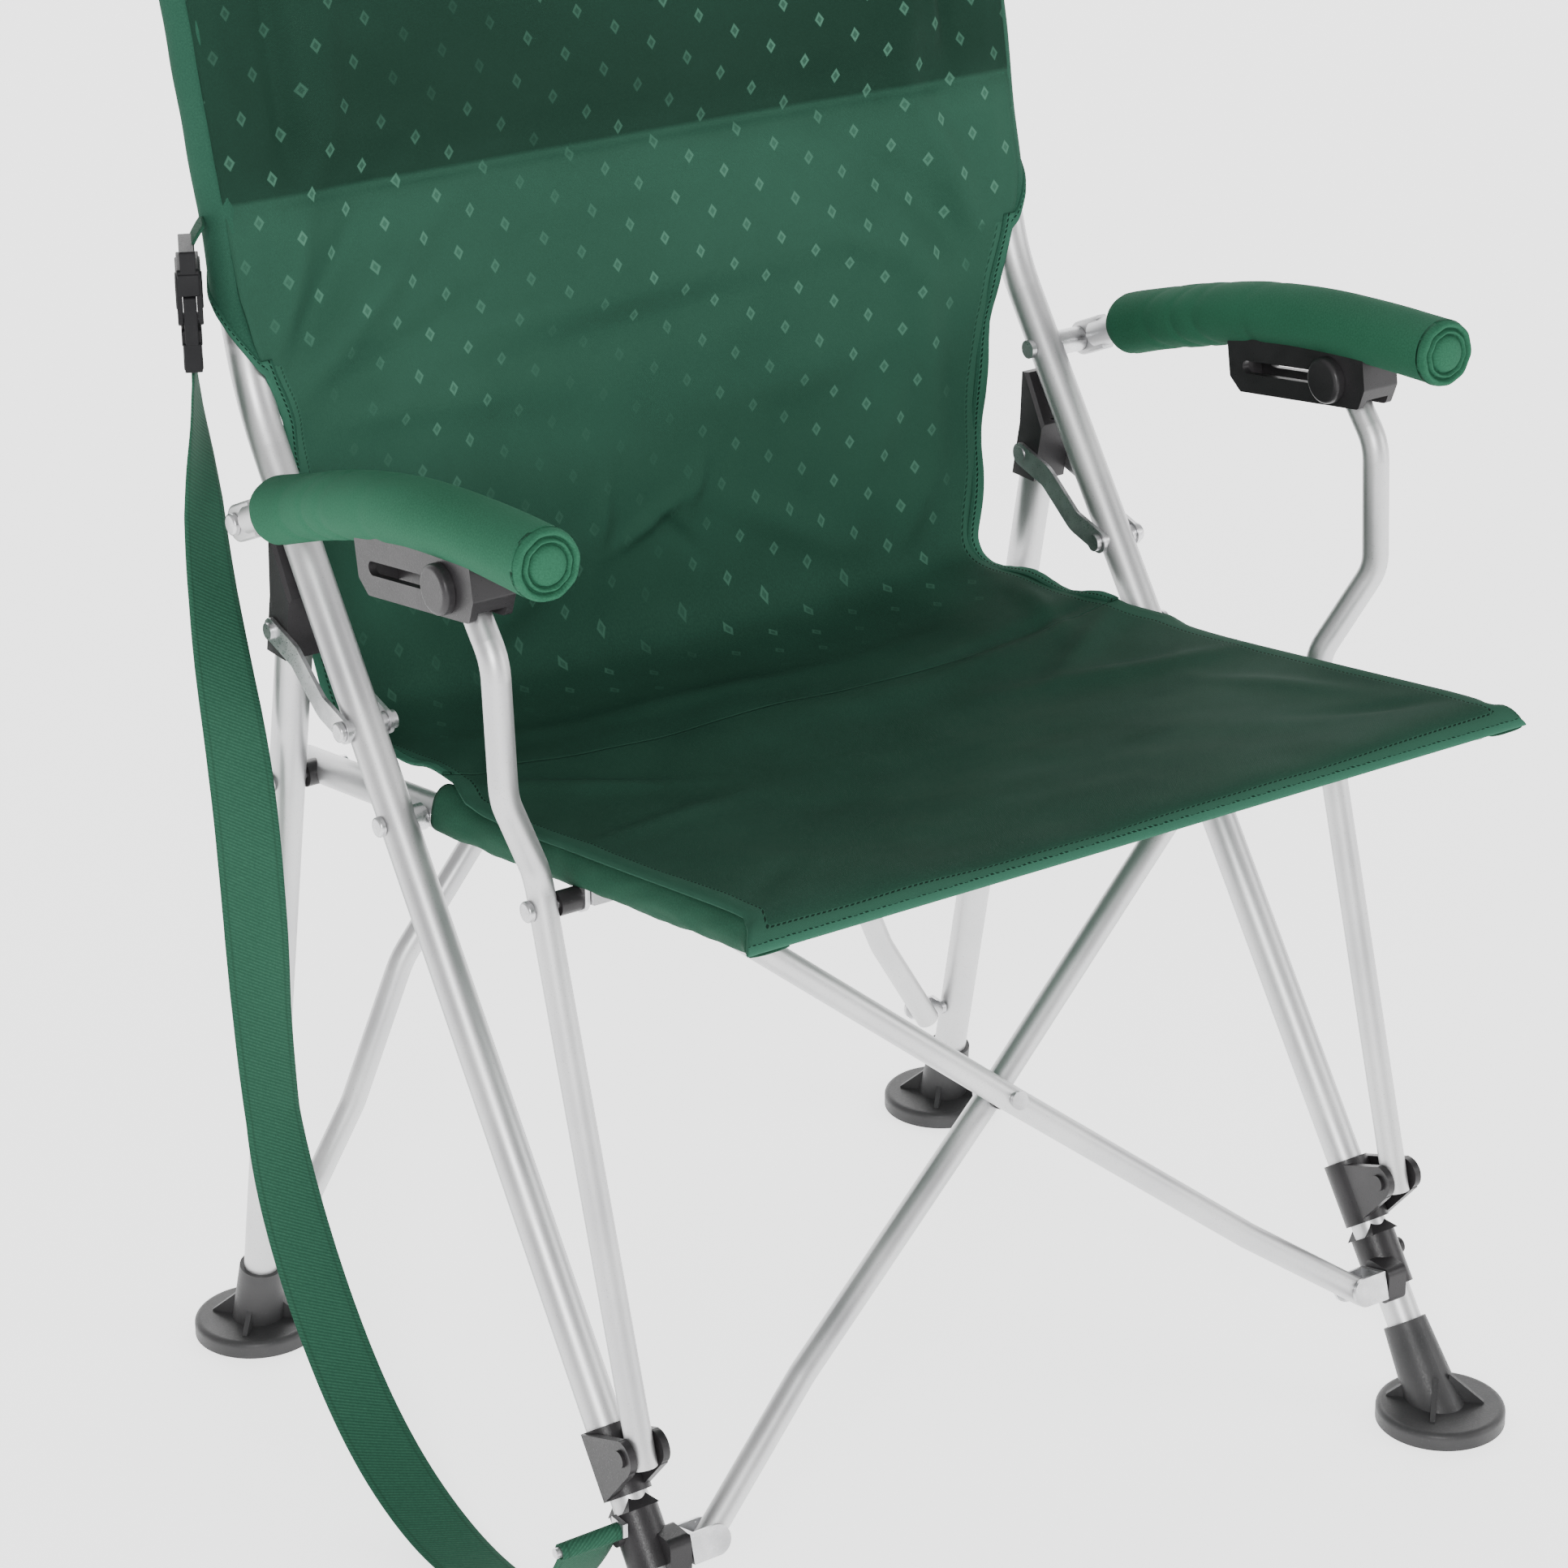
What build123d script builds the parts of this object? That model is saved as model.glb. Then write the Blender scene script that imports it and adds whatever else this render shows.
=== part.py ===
import os
from math import atan2, cos, degrees, radians, sin, tan

from build123d import *

# Folding high-back camp armchair, millimetres.
# +Z up, front towards -Y, the sitter's right side on -X.
# Origin at the middle of the chair's footprint box, on the ground.
# Every (y, z) pair below is a place in side view; left and right are mirror images.

os.makedirs("parts", exist_ok=True)

SIDES = {"left": -1, "right": 1}

# Tube sizes
POST_D = 22
LEG_D = 22
RAIL_D = 20
ARM_D = 18
BRACE_D = 16
WALL = 1.0
POST_X = 272
POST_TOP_X = 280
RAIL_X = 246
SUPPORT_X = 275
ARM_X = 304

# Post: the long tube from the front foot up to the top of the back
POST_LEAN = 0.702
POST_FOOT_Y = -258
BEND_Z = 645
UPPER_LEAN = 0.2155
TOP_Z = 927
POST_BEND = 150

# Rear leg and seat rail
LEG_FOOT_Y = 265.8
LEG_LEAN = -0.207
LEG_TOP_Z = 545
RAIL_FRONT = (-288, 479.9)
RAIL_REAR = (205, 409.4)

# Pivots in side view (y, z)
RAIL_PIVOT_Z = 432
LINK_PIVOT_Z = 480
ARM_PIVOT_Z = 588
TOP_PIVOT_Z = 760
LEG_PIVOT = (180, 413)
LINK_END = (161, 516)
SUPPORT_PIVOT = (-118.3, 440)
HUB_PIVOT = (-203.7, 143)
KNOB_PIVOT = (-98, 627)
FRONT_LOW_PIVOT = (-213, 80)
REAR_LOW_PIVOT = (248, 86)

# Front and rear scissor braces, pins measured out from the middle
FRONT_PIN_LOW_X = 238.5
FRONT_PIN_TOP_X = 210
REAR_PIN_X = 244
FRONT_CROSS_Z = 264
REAR_CROSS_Z = 445
CROSS_OFFSET = 9.5

# Fits
SHANK_R = 3.0
PIVOT_R = 3.05
GAP = 0.3
FABRIC = 2.5


def post_y(z):
    """Post axis in side view."""
    if z <= BEND_Z:
        return POST_FOOT_Y + POST_LEAN * z
    return POST_FOOT_Y + POST_LEAN * BEND_Z + UPPER_LEAN * (z - BEND_Z)


def on_post(z):
    return (post_y(z), z)


RAIL_PIVOT = on_post(RAIL_PIVOT_Z)
LINK_PIVOT = on_post(LINK_PIVOT_Z)
ARM_PIVOT = on_post(ARM_PIVOT_Z)
TOP_PIVOT = on_post(TOP_PIVOT_Z)

POST_UP = Vector(0, POST_LEAN, 1).normalized()
UPPER_UP = Vector(0, UPPER_LEAN, 1).normalized()
LEG_UP = Vector(0, LEG_LEAN, 1).normalized()
RAIL_AHEAD = Vector(0, RAIL_FRONT[0] - RAIL_REAR[0], RAIL_FRONT[1] - RAIL_REAR[1]).normalized()

# Plane of each scissor pair: through its low and top pins
FRONT_SLOPE = (SUPPORT_PIVOT[0] - FRONT_LOW_PIVOT[0]) / (SUPPORT_PIVOT[1] - FRONT_LOW_PIVOT[1])
REAR_SLOPE = (TOP_PIVOT[0] - REAR_LOW_PIVOT[0]) / (TOP_PIVOT[1] - REAR_LOW_PIVOT[1])
FRONT_NORMAL = Vector(0, -1, FRONT_SLOPE).normalized()
REAR_NORMAL = Vector(0, -1, REAR_SLOPE).normalized()


def front_at(x, z, offset=0):
    """Point of the front scissor plane, `offset` in front of it."""
    y = FRONT_LOW_PIVOT[0] + FRONT_SLOPE * (z - FRONT_LOW_PIVOT[1])
    return Vector(x, y, z) + FRONT_NORMAL * offset


def rear_at(x, z, offset=0):
    """Point of the rear scissor plane, `offset` in front of it."""
    y = REAR_LOW_PIVOT[0] + REAR_SLOPE * (z - REAR_LOW_PIVOT[1])
    return Vector(x, y, z) + REAR_NORMAL * offset


def round_bar(start, direction, length, radius):
    """Solid cylinder from a point along a direction."""
    with BuildPart() as bar:
        with BuildSketch(Plane(origin=start, z_dir=direction)):
            Circle(radius)
        extrude(amount=length)
    return bar.part


def crosswise(side, start, end, centre, radius):
    """Solid cylinder across the chair, from start to end measured out from the middle."""
    with BuildPart() as bar:
        with BuildSketch(Plane.YZ.offset(side * start)):
            with Locations(centre):
                Circle(radius)
        extrude(amount=side * (end - start))
    return bar.part


def bent_tube(points, outer, bend, wall=WALL):
    """Round tube along straight runs, with one bend radius at every corner."""
    with BuildPart() as tube:
        with BuildLine() as path:
            if len(points) == 2:
                Line(*points)
            else:
                FilletPolyline(*points, radius=bend)
        with BuildSketch(Plane(origin=path.wire() @ 0, z_dir=path.wire() % 0)):
            Circle(outer / 2)
            if wall:
                Circle(outer / 2 - wall, mode=Mode.SUBTRACT)
        sweep()
    return tube.part


def pivot_bolt(side, start, end, centre, head_radius=6, head=3.5, nut=3.5):
    """Shank across the chair with a domed head at its outer end and a nut at its inner end."""
    with BuildPart() as bolt:
        add(crosswise(side, start - nut, end + head, centre, SHANK_R))
        add(crosswise(side, end, end + head, centre, head_radius))
        fillet(bolt.edges().filter_by(GeomType.CIRCLE).sort_by(Axis.X)[-1 if side > 0 else 0], head * 0.45)
        add(crosswise(side, start - nut, start, centre, head_radius - 0.5))
    return bolt.part


def save(piece, name):
    piece.label = name
    export_step(piece, f"parts/{name}.step")


# ---------------------------------------------------------------- posts

def make_post(side):
    points = [
        Vector(side * POST_X, *on_post(12)),
        Vector(side * POST_X, *on_post(BEND_Z)),
        Vector(side * POST_TOP_X, *on_post(TOP_Z)),
    ]
    with BuildPart() as post:
        add(bent_tube(points, POST_D, POST_BEND))
        for pivot in (RAIL_PIVOT, LINK_PIVOT, ARM_PIVOT):
            add(crosswise(side, 250, 295, pivot, SHANK_R), mode=Mode.SUBTRACT)
        add(crosswise(side, 250, 271, TOP_PIVOT, PIVOT_R), mode=Mode.SUBTRACT)
    return post.part


# Feet: flat disc with a raised rim and a sleeve that follows the tube
DISC_R = 40
DISC_H = 11
SLEEVE_TOP_Z = 51
SLEEVE_R = 13.75
SLEEVE_FLARE = 4


def make_foot(side, foot_y, up, tube_d):
    centre = (side * POST_X, foot_y)
    axis = Vector(side * POST_X, foot_y, 0)
    with BuildPart() as foot:
        with BuildSketch():
            with Locations(centre):
                Circle(DISC_R)
        extrude(amount=DISC_H)
        fillet(foot.edges().filter_by(GeomType.CIRCLE).sort_by(Axis.Z)[-1], 4)
        with BuildSketch(Plane(origin=axis + up * (SLEEVE_TOP_Z / up.Z), z_dir=-up)):
            Circle(SLEEVE_R)
        extrude(amount=SLEEVE_TOP_Z / up.Z, taper=-SLEEVE_FLARE)
        for angle in (45, 135, 225, 315):
            web = Plane(origin=(centre[0], foot_y + up.Y * 9, DISC_H - 3),
                        x_dir=(cos(radians(angle)), sin(radians(angle)), 0),
                        z_dir=(-sin(radians(angle)), cos(radians(angle)), 0))
            with BuildSketch(web):
                with BuildLine():
                    Polyline((8, 0), (30, 0), (30, -4), (8, -22), close=True)
                make_face()
            extrude(amount=1.6, both=True)
        with BuildSketch(Plane.XY):
            with Locations(centre):
                Rectangle(200, 200)
        extrude(amount=-60, mode=Mode.SUBTRACT)
        add(round_bar(axis + up * (12 / up.Z), up, 90, tube_d / 2), mode=Mode.SUBTRACT)
    return foot.part


# Collar that carries the low front brace, gripping the post just above the foot
COLLAR_START = 85
COLLAR_LENGTH = 34
COLLAR_R = 14
BOSS_X = 256
STUD_R = 4
STUD_HOLE_R = 4.05


def make_collar(side):
    base = Vector(side * POST_X, POST_FOOT_Y, 0) + POST_UP * COLLAR_START
    with BuildPart() as collar:
        add(round_bar(base, POST_UP, COLLAR_LENGTH, COLLAR_R))
        with BuildSketch(Plane(origin=base + POST_UP * COLLAR_LENGTH, x_dir=(1, 0, 0), z_dir=POST_UP)):
            Rectangle(20, 2 * COLLAR_R)
        extrude(amount=12, taper=32)
        with BuildSketch(Plane.YZ.offset(side * BOSS_X)):
            with Locations(FRONT_LOW_PIVOT):
                RectangleRounded(22, 24, 5)
        extrude(amount=side * 14)
        add(round_bar(base - POST_UP * 20, POST_UP, 90, POST_D / 2), mode=Mode.SUBTRACT)
        add(crosswise(side, BOSS_X - 1, POST_X - 8, FRONT_LOW_PIVOT, STUD_HOLE_R), mode=Mode.SUBTRACT)
        add(crosswise(side, POST_X + 12, POST_X + 17, on_post(88), 5))
    return collar.part


def make_post_bolts(side):
    """Rail, link and arm pivots, riveted into the post."""
    rail = pivot_bolt(side, RAIL_X - RAIL_D / 2 - GAP, POST_X + POST_D / 2, RAIL_PIVOT)
    link = pivot_bolt(side, LINK_IN[0] - GAP, LINK_OUT[1] + GAP, LINK_PIVOT)
    arm = pivot_bolt(side, POST_X - POST_D / 2, ARM_X + ARM_FLAT / 2 + GAP, ARM_PIVOT, 6.5)
    return Compound(children=[rail, link, arm])


def make_post_spacers(side):
    """Plastic spacers between post and rail, post and links, post and armrest."""
    rings = []
    ends = [
        (RAIL_X + RAIL_D / 2 + GAP, POST_X - 5, RAIL_PIVOT, 8),
        (LINK_IN[1] + 0.2, POST_X - 8, LINK_PIVOT, 6),
        (POST_X + 8, LINK_OUT[0] - 0.2, LINK_PIVOT, 6),
        (POST_X + 5, ARM_X - ARM_FLAT / 2 - GAP, ARM_PIVOT, 8),
    ]
    for start, end, centre, radius in ends:
        with BuildPart() as ring:
            add(crosswise(side, start, end, centre, radius))
            add(crosswise(side, start - 1, end + 1, centre, SHANK_R), mode=Mode.SUBTRACT)
            add(
                round_bar((side * POST_X, *on_post(centre[1] - 60)), POST_UP, 150, POST_D / 2),
                mode=Mode.SUBTRACT,
            )
        rings.append(ring.part)
    return Compound(children=rings)


# ---------------------------------------------------------------- hub that slides on the post

HUB_AT = 148
HUB_LENGTH = 40
HUB_R = 14
HUB_BORE_R = 11.05
EAR_IN = (262, 266.5)
EAR_OUT = (283.5, 288)


def make_hub(side):
    middle = Vector(side * POST_X, POST_FOOT_Y, 0) + POST_UP * HUB_AT
    start = middle - POST_UP * (HUB_LENGTH / 2)
    foot = Vector(0, start.Y, start.Z)
    head = foot + POST_UP * HUB_LENGTH
    with BuildPart() as hub:
        add(round_bar(start, POST_UP, HUB_LENGTH, HUB_R))
        for near, far in (EAR_IN, EAR_OUT):
            with BuildSketch(Plane.YZ.offset(side * near)):
                with BuildLine():
                    Polyline(
                        (foot.Y, foot.Z),
                        (head.Y, head.Z),
                        (HUB_PIVOT[0] + 2, HUB_PIVOT[1] + 10),
                        (HUB_PIVOT[0] - 9, HUB_PIVOT[1] + 3),
                        (HUB_PIVOT[0] - 7, HUB_PIVOT[1] - 8),
                        close=True,
                    )
                make_face()
                with Locations(HUB_PIVOT):
                    Circle(10)
            extrude(amount=side * (far - near))
        add(crosswise(side, EAR_OUT[1], EAR_OUT[1] + 2, HUB_PIVOT, 5))
        add(crosswise(side, EAR_IN[0] - 2, EAR_IN[0], HUB_PIVOT, 5))
        add(round_bar(start - POST_UP * 5, POST_UP, HUB_LENGTH + 10, HUB_BORE_R), mode=Mode.SUBTRACT)
    return hub.part


# ---------------------------------------------------------------- rear legs

def make_leg(side):
    start = Vector(side * POST_X, LEG_FOOT_Y + LEG_LEAN * 12, 12)
    top = Vector(side * POST_X, LEG_FOOT_Y + LEG_LEAN * LEG_TOP_Z, LEG_TOP_Z)
    with BuildPart() as leg:
        add(bent_tube([start, top], LEG_D, 0))
        add(crosswise(side, 250, 295, LEG_PIVOT, PIVOT_R), mode=Mode.SUBTRACT)
        add(crosswise(side, 250, 271, REAR_LOW_PIVOT, PIVOT_R), mode=Mode.SUBTRACT)
        add(round_bar(top + LEG_UP * -6, (0, -1, LEG_LEAN - 0.6), 40, 14), mode=Mode.SUBTRACT)
    return leg.part


CAP_HALF = 12.1
CAP_REACH = 12.5
CAP_LOW_Z = 500


def make_leg_cap(side):
    """Plastic cap over the leg's top, cut on a slant to lie along the post."""

    def leg_line(z, reach):
        return (LEG_FOOT_Y + LEG_LEAN * z + reach, z)

    with BuildPart() as cap:
        with BuildSketch(Plane.YZ.offset(side * (POST_X - CAP_HALF))):
            with BuildLine():
                Polyline(
                    leg_line(CAP_LOW_Z, -CAP_REACH),
                    leg_line(540, -CAP_REACH),
                    (158.6, 571),
                    (163.2, 571),
                    leg_line(550, CAP_REACH),
                    leg_line(CAP_LOW_Z, CAP_REACH),
                    close=True,
                )
            make_face()
        extrude(amount=side * 2 * CAP_HALF)
        chamfer(cap.edges().filter_by(Axis.X, reverse=True).filter_by(GeomType.LINE).sort_by(Axis.Z)[4:-4], 2)
        add(
            round_bar((side * POST_X, LEG_FOOT_Y + LEG_LEAN * 480, 480), LEG_UP, 66.4, LEG_D / 2),
            mode=Mode.SUBTRACT,
        )
    return cap.part


# ---------------------------------------------------------------- seat rails

LUG_IN = 250
LUG_OUT = 253


def make_rail(side):
    with BuildPart() as rail:
        add(bent_tube([Vector(side * RAIL_X, *RAIL_REAR), Vector(side * RAIL_X, *RAIL_FRONT)], RAIL_D, 0))
        add(crosswise(side, 230, 262, RAIL_PIVOT, PIVOT_R), mode=Mode.SUBTRACT)
        add(crosswise(side, 230, 262, LEG_PIVOT, SHANK_R), mode=Mode.SUBTRACT)
    return rail.part


def make_rail_lug(side):
    """Steel tab under the rail that holds the armrest support's bolt."""
    y, z = SUPPORT_PIVOT
    with BuildPart() as lug:
        with BuildSketch(Plane.YZ.offset(side * LUG_IN)):
            with Locations((y, z)):
                Circle(8)
            with Locations((y, z + 6)):
                Rectangle(16, 12)
        extrude(amount=side * (LUG_OUT - LUG_IN))
        add(round_bar((side * RAIL_X, *RAIL_FRONT), -RAIL_AHEAD, 400, RAIL_D / 2), mode=Mode.SUBTRACT)
        add(crosswise(side, LUG_IN - 1, LUG_OUT + 1, SUPPORT_PIVOT, SHANK_R), mode=Mode.SUBTRACT)
    return lug.part


def make_rail_bolts(side):
    """Leg pivot and armrest support pivot, both fixed in the rail."""
    leg = pivot_bolt(side, RAIL_X - RAIL_D / 2, POST_X + LEG_D / 2 + GAP, LEG_PIVOT)
    support = pivot_bolt(side, CLEVIS_WEB[0] - GAP, SUPPORT_X + BRACE_D / 2 + GAP, SUPPORT_PIVOT, 6)
    return Compound(children=[leg, support])


def make_rail_spacers(side):
    """Plastic spacers between rail and leg, and between lug and armrest support."""
    with BuildPart() as at_leg:
        add(crosswise(side, RAIL_X + 5, POST_X - LEG_D / 2 - GAP, LEG_PIVOT, 8))
        add(crosswise(side, RAIL_X, POST_X, LEG_PIVOT, SHANK_R), mode=Mode.SUBTRACT)
        add(round_bar((side * RAIL_X, *RAIL_REAR), RAIL_AHEAD, 400, RAIL_D / 2), mode=Mode.SUBTRACT)
    with BuildPart() as at_support:
        add(crosswise(side, LUG_OUT, SUPPORT_X - BRACE_D / 2 - GAP, SUPPORT_PIVOT, 7))
        add(crosswise(side, LUG_OUT - 1, SUPPORT_X, SUPPORT_PIVOT, SHANK_R), mode=Mode.SUBTRACT)
    return Compound(children=[at_leg.part, at_support.part])


# ---------------------------------------------------------------- folding links

LINK_OUT = (284.6, 287.1)
LINK_IN = (257.0, 259.5)
LINK_HALF = 7.5
LINK_STEP = 4


def make_links(side):
    """Steel strip either side of post and leg, cranked near both ends."""
    start = Vector(0, *LINK_PIVOT)
    end = Vector(0, *LINK_END)
    along = (end - start).normalized()
    up = Vector(0, -along.Z, along.Y)
    strips = []
    for near, far, open_side in ((*LINK_OUT, 1), (*LINK_IN, -1)):
        with BuildPart() as strip:
            with BuildSketch(Plane.YZ.offset(side * near)):
                with BuildLine():
                    centre_line = FilletPolyline(
                        (start.Y, start.Z),
                        *[
                            ((start + along * reach + up * lift).Y, (start + along * reach + up * lift).Z)
                            for reach, lift in ((26, -LINK_STEP), (62, LINK_STEP))
                        ],
                        (end.Y, end.Z),
                        radius=16,
                    )
                    offset(centre_line, LINK_HALF, side=Side.BOTH)
                make_face()
            extrude(amount=side * (far - near))
            add(crosswise(side, near - 1, far + 1, LINK_PIVOT, PIVOT_R), mode=Mode.SUBTRACT)
            if open_side > 0:
                add(crosswise(side, far, far + 2.4, LINK_END, 5))
            else:
                add(crosswise(side, near - 0.6, near, LINK_END, 5))
        strips.append(strip.part)
    return Compound(children=strips)


# ---------------------------------------------------------------- armrest support tubes

def make_support(side):
    points = [
        Vector(side * SUPPORT_X, *HUB_PIVOT),
        Vector(side * SUPPORT_X, -113.5, 458),
        Vector(side * ARM_X, -131, 515),
        Vector(side * ARM_X, -127, 592),
        Vector(side * ARM_X, *KNOB_PIVOT),
    ]
    low = (points[0] - points[1]).normalized()
    high = (points[-1] - points[-2]).normalized()
    points[0] = points[0] + low * 9
    points[-1] = points[-1] + high * 7
    with BuildPart() as support:
        add(bent_tube(points, BRACE_D, 30))
        add(crosswise(side, 260, 290, SUPPORT_PIVOT, PIVOT_R), mode=Mode.SUBTRACT)
    return support.part


# ---------------------------------------------------------------- armrests

ARM_FLAT = 9
ARM_FLAT_TALL = 22
ARM_POINTS = [ARM_PIVOT, (114, 606), (17, 638), (-66, 655), (-148, 661), (-178, 662.4)]
PAD_R = 20
PAD_SETBACK = 2
SLOT_ALONG = Vector(0, 0.988, -0.152)
SLOT_UP = Vector(0, 0.152, 0.988)
BRACKET_HALF = 13
CHANNEL_HALF = 8.5
BRACKET_FRONT = -31
BRACKET_REAR = 94
BRACKET_LOW = -16
BRACKET_TOP = 25
SLOT_LENGTH = 78
SLOT_R = 4
KNOB_R = 14


def arm_path(side):
    """Armrest axis, from just in front of the flattened end to the front."""
    points = [Vector(side * ARM_X, y, z) for y, z in ARM_POINTS]
    points[0] = points[0] + (points[1] - points[0]).normalized() * 14
    return points


def make_arm(side):
    """Armrest tube with its rear end pressed flat round the pivot bolt."""
    points = arm_path(side)
    run = (points[1] - points[0]).normalized()
    rear = ARM_PIVOT
    angle = degrees(atan2(run.Z, run.Y))
    with BuildPart() as arm:
        add(bent_tube(points, ARM_D, 60))
        with BuildSketch(Plane.YZ.offset(side * (ARM_X - ARM_FLAT / 2))):
            with Locations(rear):
                Circle(ARM_FLAT_TALL / 2)
            with Locations(Location((rear[0], rear[1], 0), (0, 0, angle))):
                with Locations((11, 0)):
                    Rectangle(22, ARM_FLAT_TALL)
        extrude(amount=side * ARM_FLAT)
        fillet(arm.edges().filter_by(GeomType.CIRCLE).group_by(Axis.Y)[-1], 2)
        add(crosswise(side, 280, 330, ARM_PIVOT, PIVOT_R), mode=Mode.SUBTRACT)
    return arm.part


def bracket_point(along, up):
    point = Vector(0, *KNOB_PIVOT) + SLOT_ALONG * along + SLOT_UP * up
    return (point.Y, point.Z)


def make_bracket(side):
    """Plastic channel under the armrest, with the slot that the knob runs in."""
    outline = [
        bracket_point(BRACKET_FRONT, BRACKET_TOP),
        bracket_point(BRACKET_FRONT, -4),
        bracket_point(BRACKET_FRONT + 7, BRACKET_LOW),
        bracket_point(BRACKET_REAR - 9, BRACKET_LOW),
        bracket_point(BRACKET_REAR, BRACKET_LOW + 9),
        bracket_point(BRACKET_REAR, BRACKET_TOP - 5),
    ]
    channel = [
        bracket_point(BRACKET_FRONT + 4, BRACKET_TOP - 6),
        bracket_point(BRACKET_FRONT + 4, BRACKET_LOW - 5),
        bracket_point(BRACKET_REAR - 5, BRACKET_LOW - 5),
        bracket_point(BRACKET_REAR - 5, BRACKET_TOP - 6),
    ]
    slot_mid = bracket_point(SLOT_LENGTH / 2 - 1, 0)
    slot_angle = degrees(atan2(SLOT_ALONG.Z, SLOT_ALONG.Y))
    tube = bent_tube(arm_path(side), ARM_D, 60, wall=0)
    with BuildPart() as bracket:
        with BuildSketch(Plane.YZ.offset(side * (ARM_X - BRACKET_HALF))):
            with BuildLine():
                Polyline(*outline, close=True)
            make_face()
        extrude(amount=side * 2 * BRACKET_HALF)
        fillet(bracket.edges().filter_by(Axis.X), 3)
        with BuildSketch(Plane.YZ.offset(side * (ARM_X - CHANNEL_HALF))):
            with BuildLine():
                Polyline(*channel, close=True)
            make_face()
        extrude(amount=side * 2 * CHANNEL_HALF, mode=Mode.SUBTRACT)
        with BuildSketch(Plane.YZ.offset(side * (ARM_X - BRACKET_HALF - 1))):
            with Locations(Location((slot_mid[0], slot_mid[1], 0), (0, 0, slot_angle))):
                SlotCenterToCenter(SLOT_LENGTH, 2 * SLOT_R)
        extrude(amount=side * (2 * BRACKET_HALF + 2), mode=Mode.SUBTRACT)
        add(tube, mode=Mode.SUBTRACT)
    return bracket.part


def make_pad(side, bracket):
    """Foam sleeve round the armrest tube, with a rounded front end."""
    tube = arm_path(side)
    ahead = (tube[-1] - tube[-2]).normalized()
    cover = [tube[1] + (tube[2] - tube[1]).normalized() * PAD_SETBACK, *tube[2:-1], tube[-1] + ahead * 8]
    with BuildPart() as pad:
        add(bent_tube(cover, 2 * PAD_R, 60, wall=0))
        fillet(pad.faces().sort_by(Axis.Y)[0].edges(), 5)
        add(bent_tube(tube, ARM_D, 60, wall=0), mode=Mode.SUBTRACT)
        add(bracket, mode=Mode.SUBTRACT)
        with BuildSketch(Plane.YZ.offset(side * (ARM_X - CHANNEL_HALF))):
            with BuildLine():
                Polyline(
                    bracket_point(BRACKET_FRONT + 4, BRACKET_TOP - 6),
                    bracket_point(BRACKET_FRONT + 4, 0),
                    bracket_point(BRACKET_REAR - 5, 0),
                    bracket_point(BRACKET_REAR - 5, BRACKET_TOP - 6),
                    close=True,
                )
            make_face()
        extrude(amount=side * 2 * CHANNEL_HALF, mode=Mode.SUBTRACT)
    return pad.part


def make_knob(side):
    """Round knob each side of the channel, each with a stub that runs in the slot."""
    discs = []
    for out in (1, -1):
        face = ARM_X + out * (BRACKET_HALF + GAP)
        with BuildPart() as disc:
            add(crosswise(side, face, face + out * 6.5, KNOB_PIVOT, KNOB_R))
            fillet(disc.faces().sort_by(Axis.X)[-1 if side * out > 0 else 0].edges(), 3)
            add(crosswise(side, ARM_X + out * (CHANNEL_HALF + 0.2), face, KNOB_PIVOT, SLOT_R - 0.1))
        discs.append(disc.part)
    return Compound(children=discs)


# ---------------------------------------------------------------- scissor braces

EAR_GAP = 8.4
EAR_FACE = 10.6
CLEVIS_HALF = 9
TAB_HALF = 4.2
TAB_EYE_R = 5
CLEVIS_REACH = 13.5
CLEVIS_BASE = 3
CLEVIS_WEB = (246.5, 249.5)


def make_clevis(side, pin, normal, stud_radius, stud_length, face=EAR_FACE):
    """Steel fork with its rivet, on a stud that turns in the tube or collar beside it."""
    plane = Plane(origin=pin, x_dir=(side, 0, 0), z_dir=normal)
    with BuildPart() as clevis:
        with BuildSketch(plane):
            Circle(CLEVIS_HALF)
            with Locations(((CLEVIS_REACH + CLEVIS_BASE) / 2, 0)):
                Rectangle(CLEVIS_REACH + CLEVIS_BASE, 2 * CLEVIS_HALF)
        extrude(amount=face, both=True)
        with BuildSketch(plane):
            with Locations((CLEVIS_REACH / 2 - 10, 0)):
                Rectangle(CLEVIS_REACH + 20, 2 * CLEVIS_HALF + 4)
        extrude(amount=EAR_GAP, both=True, mode=Mode.SUBTRACT)
        with BuildSketch(plane):
            Circle(SHANK_R)
        extrude(amount=face, both=True)
        base = pin + Vector(side * CLEVIS_REACH, 0, 0)
        add(round_bar(base, (side, 0, 0), CLEVIS_BASE + stud_length, stud_radius))
    return clevis.part


def make_tab(side, pin, normal, web, stud_end, offset_sign):
    """Steel angle whose single ear lies beside the brace's end; its web turns on the bolt or stud."""
    plane = Plane(origin=pin, x_dir=(side, 0, 0), z_dir=normal * offset_sign)
    start = web[0] - abs(pin.X)
    with BuildPart() as tab:
        with BuildSketch(plane.offset(EAR_GAP + 0.4)):
            Circle(CLEVIS_HALF)
            with Locations(((start + CLEVIS_BASE) / 2, 0)):
                Rectangle(start + CLEVIS_BASE, 2 * TAB_HALF)
        extrude(amount=2.4)
        with BuildSketch(plane.offset(EAR_GAP + 2.8)):
            Circle(5)
        extrude(amount=1.8)
        with BuildSketch(plane):
            with Locations((start + CLEVIS_BASE / 2, 0)):
                Rectangle(CLEVIS_BASE, 2 * TAB_HALF)
        extrude(amount=EAR_GAP + 0.4 + 2.4)
        add(crosswise(side, web[0], web[1], (pin.Y, pin.Z), TAB_EYE_R))
        if stud_end:
            add(crosswise(side, web[1], stud_end, (pin.Y, pin.Z), SHANK_R))
        else:
            add(crosswise(side, web[0] - 1, web[1] + 1, (pin.Y, pin.Z), PIVOT_R), mode=Mode.SUBTRACT)
    return tab.part


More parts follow.
